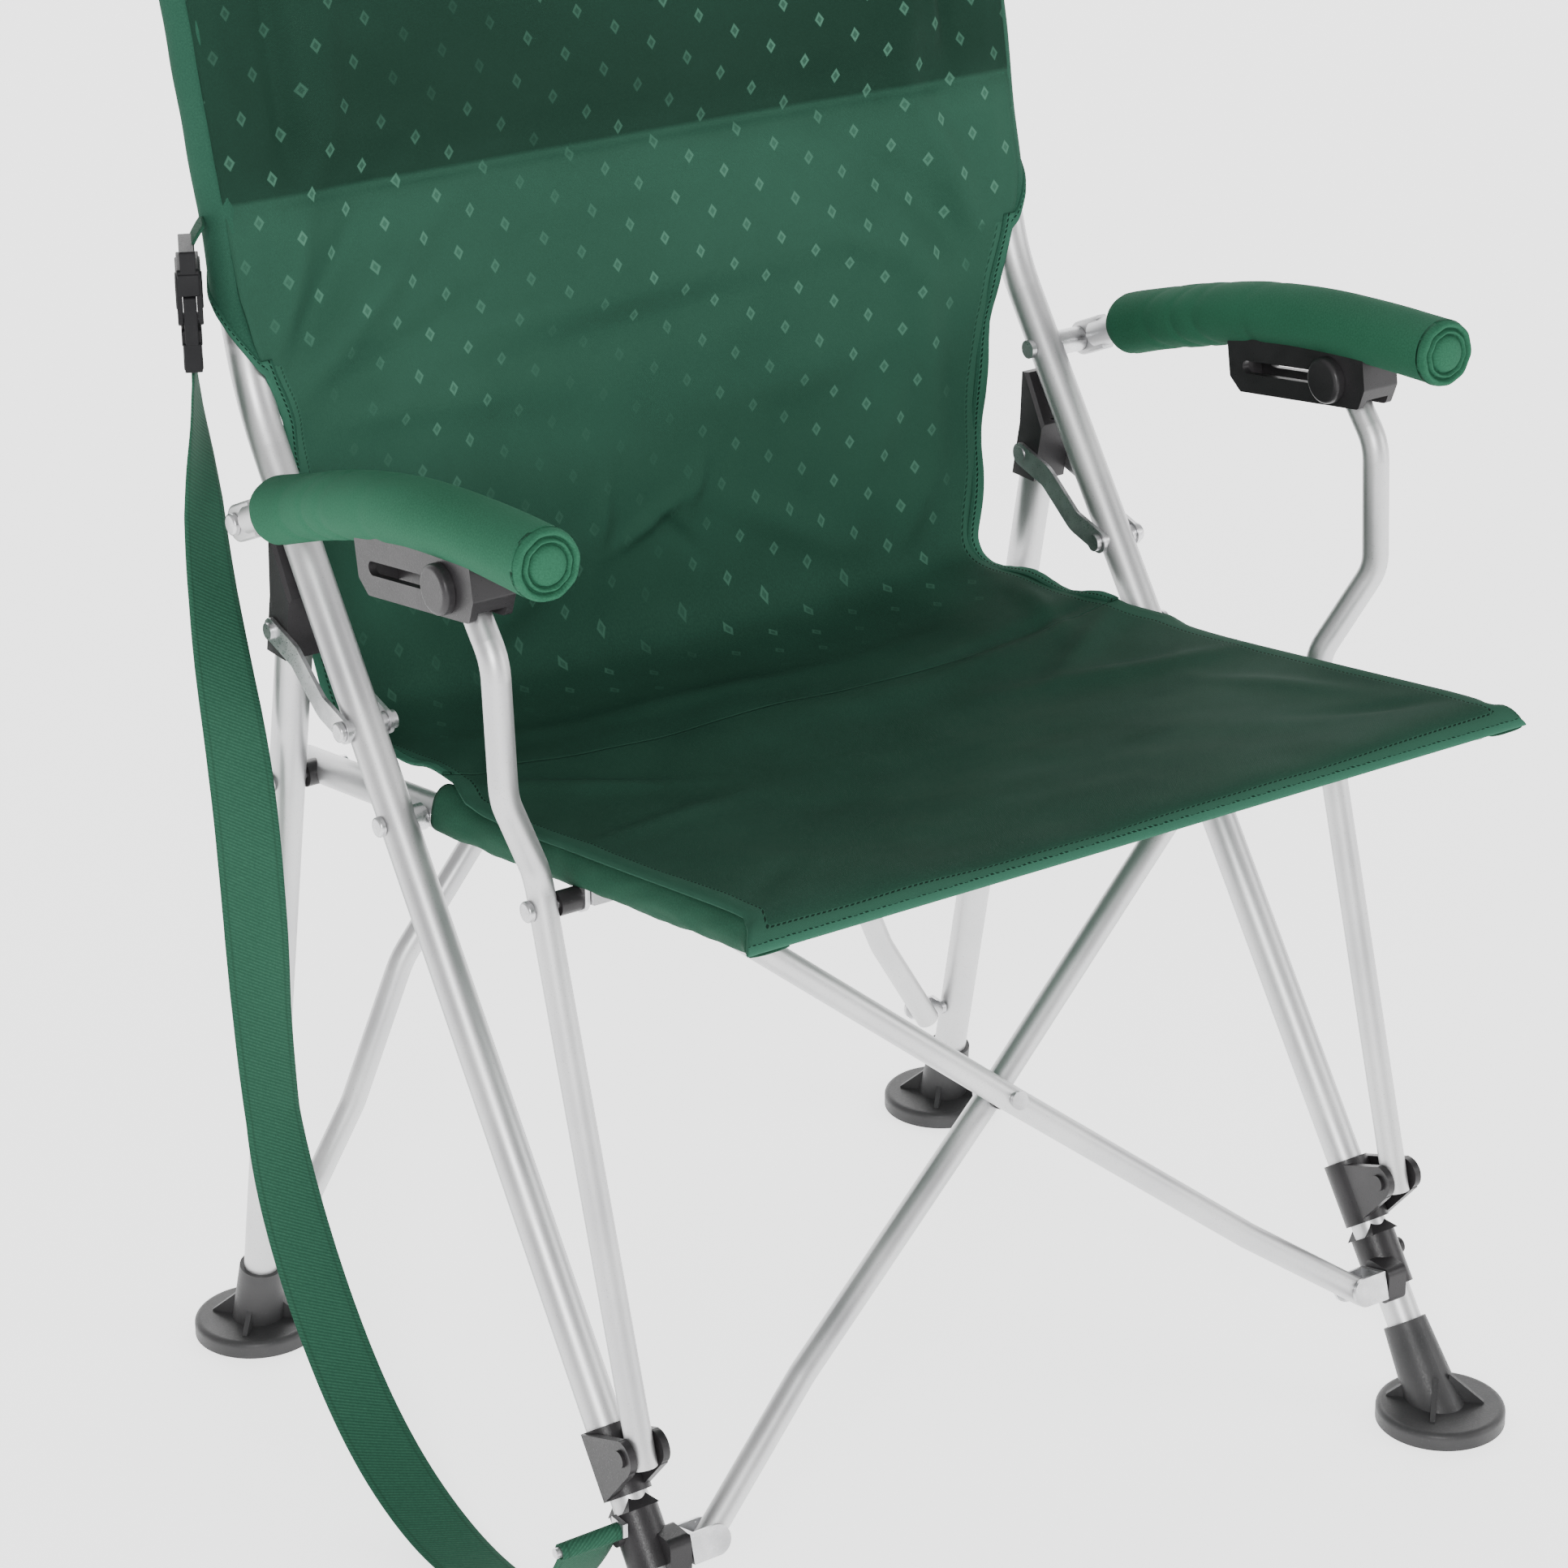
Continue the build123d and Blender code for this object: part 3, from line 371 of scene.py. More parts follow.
def print_lozenges(tree, colour, vector, cloth_slots):
    """Hollow pale lozenges, worn away in patches and left off near the hems and on the seat."""
    across, along, hem = cloth_slots
    reach = dots(tree, across, along)
    ring = ramp(tree, reach, DOT_RADIUS * 1.06, DOT_RADIUS * 0.9)
    hollow = ramp(tree, reach, DOT_RADIUS * 0.42, DOT_RADIUS * 0.58)
    rim = math_node(tree, "ADD", math_node(tree, "MULTIPLY", hollow, 0.6), 0.4)
    mark = math_node(tree, "MULTIPLY", ring, rim)
    fade = ramp(tree, noise_node(tree, vector, 5.5, 1), 0.36, 0.62)
    fade = math_node(tree, "ADD", math_node(tree, "MULTIPLY", fade, 0.55), 0.08)
    inside = math_node(tree, "MULTIPLY", ramp(tree, hem, 0.022, 0.045), ramp(tree, along, 0.075, -0.01))
    mark = math_node(tree, "MULTIPLY", math_node(tree, "MULTIPLY", mark, fade), inside)
    return mix_colour(tree, mark, colour, DOT_COLOUR)


def make_canvas(name, dark, light, printed_and_shaded):
    """Coated polyester canvas: fine weave, hem band with a stitch row, printed lozenges."""
    material, tree, shader = new_material(name, dark, 0.8, specular=0.06)
    vector, (across, along, hem) = cloth_place(tree)
    cloud = noise_node(tree, vector, 9, 4)
    grain = noise_node(tree, vector, 900, 2)
    colour = mix_colour(tree, ramp(tree, cloud, 0.3, 0.75), dark, light)
    slub = ramp(tree, grain, 0.35, 0.7)
    colour = mix_colour(tree, math_node(tree, "MULTIPLY", slub, 0.22), colour, tuple(c * 1.9 for c in light))
    in_hem = math_node(tree, "LESS_THAN", hem, HEM_BAND)
    colour = mix_colour(
        tree, math_node(tree, "MULTIPLY", in_hem, 0.55), colour, tuple(c * 1.8 for c in light)
    )
    row = math_node(tree, "ABSOLUTE", math_node(tree, "SUBTRACT", hem, STITCH_ROW))
    on_row = math_node(tree, "LESS_THAN", row, 0.0006)
    dash = math_node(tree, "SINE", math_node(
        tree, "MULTIPLY", math_node(tree, "ADD", across, along), 2 * math.pi / STITCH_PITCH))
    stitch = math_node(tree, "MULTIPLY", on_row, math_node(tree, "GREATER_THAN", dash, -0.35))
    colour = mix_colour(tree, stitch, colour, tuple(c * 0.35 for c in dark))
    height = math_node(tree, "MULTIPLY", weave(tree, across, along, THREAD_PITCH), 0.35)
    height = math_node(tree, "ADD", height, math_node(tree, "MULTIPLY", grain, 0.6))
    pull = math_node(tree, "MULTIPLY", ramp(tree, row, 0.0022, 0.0), 1.2)
    height = math_node(tree, "SUBTRACT", height, pull)
    if printed_and_shaded:
        # Painted shade on the seat and above the back's cross seam, painted light on the lower back.
        colour = paint_sling_light_and_shade(tree, colour, along, dark, light)
        colour = print_lozenges(tree, colour, vector, (across, along, hem))
    tree.links.new(colour, shader.inputs["Base Color"])
    tree.links.new(ramp(tree, cloud, 4.5, -0.5), shader.inputs["Roughness"])
    add_bump(tree, shader, height, 0.35, 0.0004)
    return material


def make_webbing():
    """Woven strap: slanted ribs and a darker line near each edge."""
    material, tree, shader = new_material("webbing", (0.03, 0.10, 0.06), 0.8, specular=0.12)
    vector, (across, along, edge) = cloth_place(tree)
    grain = noise_node(tree, vector, 700, 2)
    rib = math_node(tree, "SINE", math_node(
        tree, "MULTIPLY", math_node(tree, "ADD", along, math_node(tree, "MULTIPLY", across, 0.6)),
        2 * math.pi / 0.0022))
    colour = mix_colour(tree, ramp(tree, grain, 0.3, 0.7), (0.019, 0.075, 0.045), (0.032, 0.112, 0.068))
    colour = mix_colour(tree, ramp(tree, rib, 1.6, -1.4), colour, (0.015, 0.058, 0.035))
    line = ramp(tree, math_node(tree, "ABSOLUTE", math_node(tree, "SUBTRACT", edge, 0.0035)), 0.0009, 0.0003)
    colour = mix_colour(tree, math_node(tree, "MULTIPLY", line, 0.5), colour, (0.012, 0.045, 0.026))
    tree.links.new(colour, shader.inputs["Base Color"])
    height = math_node(tree, "ADD", math_node(tree, "MULTIPLY", rib, 0.5), grain)
    add_bump(tree, shader, height, 0.5, 0.0004)
    return material


def make_tube_coat():
    """Satin grey metal tube with faint speckle and cloudy patches."""
    material, tree, shader = new_material("tube_coat", (0.6, 0.6, 0.6), 0.30, metallic=0.92)
    shader.inputs["Coat Weight"].default_value = 0.15
    shader.inputs["Coat Roughness"].default_value = 0.3
    place = object_place(tree)
    cloud = noise_node(tree, place, 14, 4)
    speck = noise_node(tree, place, 1400, 2)
    colour = mix_colour(tree, ramp(tree, cloud, 0.3, 0.7), (0.50, 0.50, 0.51), (0.64, 0.64, 0.64))
    colour = mix_colour(tree, ramp(tree, speck, 0.62, 0.8), colour, (0.30, 0.30, 0.31))
    tree.links.new(colour, shader.inputs["Base Color"])
    tree.links.new(ramp(tree, cloud, -0.9, 2.3), shader.inputs["Roughness"])
    add_bump(tree, shader, speck, 0.12, 0.0002)
    return material


def make_zinc():
    """Zinc-plated steel: cloudy patches and fine scratches."""
    material, tree, shader = new_material("zinc", (0.62, 0.62, 0.63), 0.3, metallic=0.95)
    place = object_place(tree)
    cloud = noise_node(tree, place, 60, 3)
    scratch = noise_node(tree, place, 900, 3, 0.7)
    colour = mix_colour(tree, ramp(tree, cloud, 0.3, 0.7), (0.46, 0.46, 0.47), (0.72, 0.72, 0.73))
    tree.links.new(colour, shader.inputs["Base Color"])
    tree.links.new(ramp(tree, scratch, -0.1, 1.6), shader.inputs["Roughness"])
    add_bump(tree, shader, scratch, 0.15, 0.0003)
    return material


def make_plastic(name, dark, light, roughness, grain_scale, specular=0.30):
    """Moulded plastic or rubber: fine spark texture and slightly paler worn patches."""
    material, tree, shader = new_material(name, dark, roughness, specular=specular)
    place = object_place(tree)
    cloud = noise_node(tree, place, 30, 4)
    grain = noise_node(tree, place, grain_scale, 3, 0.6)
    colour = mix_colour(tree, ramp(tree, cloud, 0.35, 0.75), dark, light)
    colour = mix_colour(tree, ramp(tree, grain, 0.6, 0.85), colour, tuple(c * 1.5 for c in light))
    tree.links.new(colour, shader.inputs["Base Color"])
    tree.links.new(ramp(tree, grain, 0.5 - roughness * 1.4, 2.2 - roughness), shader.inputs["Roughness"])
    add_bump(tree, shader, grain, 0.3, 0.0003)
    return material


# The sling's canvas carries painted shade on the seat and above the back's cross seam, and painted light on
# the lower back.
CANVAS = make_canvas("canvas", (0.014, 0.043, 0.028), (0.020, 0.061, 0.040), True)
CANVAS_PLAIN = make_canvas("canvas_plain", (0.012, 0.043, 0.026), (0.018, 0.062, 0.038), False)
CANVAS_EDGE = make_canvas("canvas_edge", (0.016, 0.058, 0.037), (0.024, 0.078, 0.051), False)
ARM_COVER = make_canvas("arm_cover", (0.019, 0.082, 0.046), (0.026, 0.104, 0.060), False)
WEBBING = make_webbing()
TUBE = make_tube_coat()
ZINC = make_zinc()
PLASTIC = make_plastic("charcoal_plastic", (0.016, 0.015, 0.016), (0.027, 0.025, 0.027), 0.5, 1200)
RUBBER = make_plastic("foot_rubber", (0.029, 0.029, 0.030), (0.047, 0.046, 0.047), 0.62, 800)
BLACK = make_plastic("black_plastic", (0.008, 0.008, 0.009), (0.014, 0.014, 0.015), 0.60, 1500, 0.12)

NODE_MATERIALS = {
    TUBE: ("post", "leg", "rail", "arm_support", "arm_tube", "front_brace", "rear_brace"),
    ZINC: (
        "post_bolts", "post_spacers", "rail_lug", "rail_bolts", "links", "front_low_clevis", "front_top_tab",
        "rear_top_clevis", "rear_low_tab",
    ),
    PLASTIC: ("post_collar", "hub", "leg_cap", "rail_spacers", "arm_bracket", "arm_knob"),
    RUBBER: ("post_foot", "leg_foot"),
}


def paint_nodes():
    """Gives every carried-over CAD node its procedural material."""
    painted = {"front_cross_rivet": ZINC, "front_cross_spacer": PLASTIC, "strap_anchor": ZINC}
    for material, stems in NODE_MATERIALS.items():
        for stem in stems:
            for side in SIDES:
                painted[f"{stem}_{side}"] = material
    for node, material in painted.items():
        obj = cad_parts[node]
        obj.data.materials.clear()
        obj.data.materials.append(material)


# ---------------------------------------------------------------- carry strap and buckle

STRAP_X = -0.308
STRAP_WIDTH = 0.038
STRAP_THICK = 0.0018
STRAP_ROUTE = [
    (0.196, 0.672),
    (0.197, 0.590),
    (0.188, 0.512),
    (0.167, 0.428),
    (0.161, 0.340),
    (0.160, 0.258),
    (0.150, 0.180),
    (0.104, 0.098),
    (0.040, 0.036),
    (-0.040, 0.008),
    (-0.118, 0.014),
    (-0.177, 0.053),
    (-0.199, 0.092),
]
# The buckle hangs with its width along this level direction
BUCKLE_WIDTH_WAY = Vector((0.439, 0.898, 0)).normalized()
BUCKLE_FACE_WAY = Vector((0.898, -0.439, 0)).normalized()
# Height against the turn of the webbing's width away from the buckle's plane, in degrees
STRAP_TWIST = (
    (0.0, 95), (0.1, 90), (0.21, 58), (0.275, 66), (0.325, 80), (0.375, 86), (0.427, 78), (0.479, 62),
    (0.532, 47), (0.586, 36), (0.613, 25), (0.640, 12), (0.668, 3),
)


def add_strap():
    """Flat webbing that hangs from the buckle, turns to lie flat and comes back to the front foot."""
    points = [(STRAP_X, y, z) for y, z in STRAP_ROUTE]
    line = spline_points(points, 3)
    tangents = np.gradient(line, axis=0)
    heights, turns = zip(*STRAP_TWIST)
    profile = []
    for step in range(13):
        across = -1 + step / 6
        profile.append((across, 1))
    outline = profile + [(a, -1) for a, _ in reversed(profile)]
    places, cloth = [], []
    travelled = 0.0
    previous = None
    for index, (here, tangent) in enumerate(zip(line, tangents)):
        tangent = Vector(tangent).normalized()
        turn = math.radians(np.interp(here[2], heights, turns))
        flat_end = float(ease(np.array(index / len(line)), 0.80, 0.97))
        across = BUCKLE_WIDTH_WAY * -math.cos(turn) + BUCKLE_FACE_WAY * -math.sin(turn)
        across = across.lerp(Vector((-1, 0, 0)), flat_end)
        across = (across - tangent * across.dot(tangent)).normalized()
        if previous is not None:
            if across.dot(previous) < 0:
                across = -across
            travelled += (Vector(here) - place_before).length
        previous, place_before = across, Vector(here)
        normal = tangent.cross(across)
        row, row_cloth = [], []
        for offset, face in outline:
            cup = 0.0006 * (1 - offset * offset) * math.sin(travelled * 9)
            row.append(Vector(here) + across * (offset * STRAP_WIDTH / 2)
                       + normal * (face * STRAP_THICK / 2 * (1 - 0.55 * abs(offset) ** 8) + cup))
            row_cloth.append((offset * STRAP_WIDTH / 2, travelled, (1 - abs(offset)) * STRAP_WIDTH / 2))
        places.append(row)
        cloth.append(row_cloth)
    rows, columns = len(places), len(outline)
    faces = grid_faces(rows, columns, close_columns=True)
    faces.append(tuple(range(columns)))
    faces.append(tuple(reversed(range((rows - 1) * columns, rows * columns))))
    strap = add_mesh(
        "carry_webbing", [v for row in places for v in row], faces, WEBBING,
        [c for row in cloth for c in row],
    )
    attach(strap, "post_left")
    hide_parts("carry_strap")
    return strap, line


def rounded_plate(bm, matrix, half_w, half_h, half_t, radius, steps=5):
    """Adds a flat plate with round corners to bm; its thickness runs along local Z."""
    outline = []
    for corner, (sx, sy) in enumerate(((1, 1), (-1, 1), (-1, -1), (1, -1))):
        for step in range(steps + 1):
            angle = math.radians(90 * corner + 90 * step / steps)
            outline.append((
                sx * (half_w - radius) + radius * math.cos(angle),
                sy * (half_h - radius) + radius * math.sin(angle),
            ))
    top = [bm.verts.new(matrix @ Vector((x, y, half_t))) for x, y in outline]
    low = [bm.verts.new(matrix @ Vector((x, y, -half_t))) for x, y in outline]
    bm.faces.new(top)
    bm.faces.new(list(reversed(low)))
    count = len(outline)
    for index in range(count):
        after = (index + 1) % count
        bm.faces.new((top[after], top[index], low[index], low[after]))


def finish_bm(bm, name, material, bevel=0.0006):
    """Turns bm into a flat-shaded object with small bevels."""
    mesh = bpy.data.meshes.new(name)
    bmesh.ops.recalc_face_normals(bm, faces=bm.faces)
    bm.to_mesh(mesh)
    bm.free()
    mesh.materials.append(material)
    obj = bpy.data.objects.new(name, mesh)
    bpy.context.collection.objects.link(obj)
    if bevel:
        modifier = obj.modifiers.new("edges", "BEVEL")
        modifier.width = bevel
        modifier.segments = 2
        modifier.limit_method = "ANGLE"
        apply_modifiers(obj)
    obj.data.polygons.foreach_set("use_smooth", [False] * len(obj.data.polygons))
    return obj


def add_buckle():
    """Side-release buckle, its width in line with the webbing's upper end."""
    base = Vector((STRAP_X, *STRAP_ROUTE[0]))
    turn = Matrix((
        (BUCKLE_WIDTH_WAY.x, 0, BUCKLE_FACE_WAY.x, 0),
        (BUCKLE_WIDTH_WAY.y, 0, BUCKLE_FACE_WAY.y, 0),
        (0, 1, 0, 0),
        (0, 0, 0, 1),
    ))

    def at(width, height, out=0.0):
        place = base + BUCKLE_WIDTH_WAY * width + Vector((0, 0, height)) + BUCKLE_FACE_WAY * out
        return Matrix.Translation(place) @ turn

    plug = bmesh.new()
    rounded_plate(plug, at(0, 0.006), 0.0195, 0.0035, 0.0055, 0.0025)
    rounded_plate(plug, at(0, 0.0135), 0.0195, 0.0030, 0.0050, 0.0022)
    for side in (-1, 1):
        rounded_plate(plug, at(side * 0.0182, 0.010), 0.0022, 0.0085, 0.0050, 0.0012)
        rounded_plate(plug, at(side * 0.0175, 0.0315), 0.0032, 0.0145, 0.0038, 0.0022)
    rounded_plate(plug, at(0, 0.0215), 0.0185, 0.0050, 0.0058, 0.0025)
    rounded_plate(plug, at(0, 0.034), 0.0030, 0.0110, 0.0026, 0.0015)
    plug_piece = finish_bm(plug, "buckle_male", BLACK)
    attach(plug_piece, "post_left")
    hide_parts("buckle_plug")

    socket = bmesh.new()
    for out in (-0.0056, 0.0056):
        rounded_plate(socket, at(0, 0.044, out), 0.0205, 0.0155, 0.0016, 0.005)
        rounded_plate(socket, at(0, 0.0445, out * 1.28), 0.0120, 0.0085, 0.0006, 0.004)
    for side in (-1, 1):
        rounded_plate(socket, at(side * 0.0190, 0.0530), 0.0025, 0.0065, 0.0060, 0.0015)
    rounded_plate(socket, at(0, 0.0590), 0.0205, 0.0028, 0.0064, 0.0022)
    rounded_plate(socket, at(0, 0.0700), 0.0205, 0.0022, 0.0045, 0.0018)
    for side in (-1, 1):
        rounded_plate(socket, at(side * 0.0188, 0.0645), 0.0018, 0.0070, 0.0045, 0.0012)
    socket_piece = finish_bm(socket, "buckle_female", BLACK)
    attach(socket_piece, "post_left")
    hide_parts("buckle_socket")
    return plug_piece, socket_piece


def add_anchor_loop():
    """Sewn loop of webbing round the anchor bar."""
    y, z = STRAP_ROUTE[-1]
    rows, columns = 15, 24
    places = np.zeros((rows, columns, 3))
    cloth = np.zeros_like(places)
    for row, x in enumerate(np.linspace(-STRAP_WIDTH / 2, STRAP_WIDTH / 2, rows)):
        for column in range(columns):
            angle = 2 * math.pi * column / columns
            places[row, column] = (
                STRAP_X + x, y - 0.0014 + 0.0042 * math.cos(angle), z + 0.0035 + 0.0046 * math.sin(angle),
            )
            cloth[row, column] = (x, 0.0044 * angle, STRAP_WIDTH / 2 - abs(x))
    loop = add_grid("anchor_webbing", places, WEBBING, cloth, close_columns=True)
    thicken(loop, 0.0012)
    fix_normals(loop)
    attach(loop, "post_left")


def fix_normals(obj):
    """Turns all faces outwards."""
    bm = bmesh.new()
    bm.from_mesh(obj.data)
    bmesh.ops.recalc_face_normals(bm, faces=bm.faces)
    bm.to_mesh(obj.data)
    bm.free()


def add_buckle_loop():
    """Short webbing that holds the buckle to the back's left edge."""
    low = Vector((STRAP_X, *STRAP_ROUTE[0])) + Vector((0, 0, 0.066))
    top = Vector((-0.2890, 0.2110, 0.751))
    rows = []
    for step in range(15):
        t = step / 14
        middle = low.lerp(top, t) - BUCKLE_FACE_WAY * (0.001 * math.sin(math.pi * t))
        rows.append([middle + BUCKLE_WIDTH_WAY * (w * 0.0145) for w in np.linspace(-1, 1, 9)])
    places = np.array([[tuple(v) for v in row] for row in rows])
    cloth = np.zeros_like(places)
    cloth[..., 0] = np.linspace(-0.0175, 0.0175, 9)
    cloth[..., 1] = np.linspace(0, 0.05, 15)[:, None]
    cloth[..., 2] = 0.0175 - np.abs(cloth[..., 0])
    loop = add_grid("buckle_webbing", places, WEBBING, cloth)
    thicken(loop, 0.0016)
    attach(loop, "post_left")


strap_piece, strap_line = add_strap()
plug_piece, socket_piece = add_buckle()
add_buckle_loop()
add_anchor_loop()


# ---------------------------------------------------------------- seat and back cloth

RAIL_X = 0.246
TUNNEL_R = 0.0116
CLOTH_LINE = [
    (-0.3045, 0.4800), (-0.2995, 0.4895), (-0.288, 0.4935), (-0.262, 0.4905), (-0.200, 0.4813),
    (-0.118, 0.4694), (-0.030, 0.4565),
    (0.010, 0.4550), (0.0405, 0.4565), (0.080, 0.4520), (0.130, 0.4450), (0.170, 0.4445), (0.1885, 0.451),
    (0.1905, 0.490), (0.190, 0.540), (0.187, 0.600), (0.184, 0.655), (0.190, 0.700), (0.205, 0.766),
    (0.2225, 0.850), (0.2403, 0.931),
]
SPLIT_Y = 0.040
CREASE = (0.180, 0.452)
SEAM_Z = 0.756
SIDE_SEAM_X = 0.235
SHOULDER_Z = 0.664
# Half width of the cloth along the seat (y) and up the back (z)
SEAT_HALF = (
    (-0.3045, 0.2660), (-0.296, 0.2600), (-0.282, 0.2535), (0.0, 0.2535), (0.030, 0.2440), (0.170, 0.2420),
)
BACK_HALF = (
    (0.455, 0.2430), (0.50, 0.2480), (0.56, 0.2490), (0.60, 0.2520), (0.630, 0.2580), (0.655, 0.2660),
    (0.680, 0.2730), (0.705, 0.2770), (0.931, 0.2830),
)
# Sag of the middle against the way along the cloth, 0 at the crease
SAG = ((-0.49, 0.007), (-0.30, 0.013), (-0.10, 0.014), (0.0, 0.010), (0.10, 0.0145), (0.48, 0.0145))

# Creases: middle, angle in degrees, length, width and height; (x, y) on the seat, (x, z) on the back
SEAT_FOLDS = (
    ((-0.19, -0.10), 18, 0.08, 0.012, 0.0035),
    ((-0.20, 0.00), -28, 0.07, 0.010, 0.0045),
    ((-0.215, 0.05), 50, 0.06, 0.011, -0.0050),
    ((0.19, -0.06), -20, 0.08, 0.012, 0.0040),
    ((0.20, 0.01), 35, 0.07, 0.010, 0.0055),
    ((0.175, 0.05), 8, 0.07, 0.010, -0.0050),
    ((0.215, 0.09), 70, 0.05, 0.009, 0.0060),
    ((0.21, -0.16), -75, 0.06, 0.010, 0.0030),
    ((-0.22, -0.25), 40, 0.05, 0.010, -0.0030),
    ((0.22, -0.25), -40, 0.05, 0.010, -0.0030),
    ((0.02, 0.02), 3, 0.16, 0.020, 0.0025),
    ((-0.05, 0.10), -4, 0.15, 0.016, 0.0025),
)
BACK_FOLDS = (
    ((-0.240, 0.715), 70, 0.060, 0.011, 0.0085),
    ((-0.222, 0.700), 52, 0.070, 0.011, -0.0080),
    ((-0.200, 0.684), 40, 0.085, 0.013, 0.0075),
    ((-0.175, 0.655), 22, 0.090, 0.014, -0.0065),
    ((-0.195, 0.625), -8, 0.070, 0.014, 0.0060),
    ((-0.212, 0.575), -50, 0.070, 0.013, -0.0055),
    ((-0.195, 0.540), -65, 0.060, 0.014, 0.0045),
    ((0.225, 0.705), 112, 0.070, 0.011, 0.0075),
    ((0.200, 0.690), 135, 0.080, 0.013, -0.0070),
    ((0.178, 0.660), 150, 0.080, 0.014, 0.0055),
    ((0.205, 0.600), 100, 0.090, 0.014, 0.0060),
    ((0.228, 0.530), 92, 0.080, 0.011, -0.0045),
    ((0.175, 0.545), 70, 0.060, 0.012, 0.0040),
    ((0.195, 0.480), 60, 0.040, 0.010, 0.0050),
    ((0.000, 0.512), 25, 0.028, 0.006, 0.0055),
    ((0.020, 0.500), -48, 0.022, 0.005, -0.0050),
    ((-0.035, 0.520), 80, 0.024, 0.006, 0.0045),
    ((0.035, 0.530), 70, 0.020, 0.005, 0.0035),
    ((-0.100, 0.480), 30, 0.060, 0.012, 0.0045),
    ((0.110, 0.485), -30, 0.060, 0.012, 0.0045),
    ((0.010, 0.640), 4, 0.130, 0.013, -0.0050),
    ((-0.020, 0.665), 3, 0.110, 0.012, 0.0035),
    ((-0.060, 0.725), 2, 0.120, 0.016, -0.0050),
    ((0.110, 0.735), -6, 0.090, 0.014, 0.0045),
    ((0.120, 0.590), 12, 0.060, 0.016, 0.0040),
    ((-0.090, 0.590), -12, 0.080, 0.018, -0.0040),
    ((-0.205, 0.830), 84, 0.080, 0.010, 0.0040),
    ((0.200, 0.820), 94, 0.080, 0.010, 0.0040),
)


def rail_z(y):
    """Height of the seat rail axis, which slopes down to the rear."""
    return 0.413 + 0.143 * (0.180 - y)


def post_place(z):
    """Post axis in side view, and how far out it stands."""
    if z <= 0.645:
        return -0.258 + 0.702 * z, 0.272
    rise = z - 0.645
    return 0.19479 + 0.2155 * rise, 0.272 + 0.008 * rise / 0.282


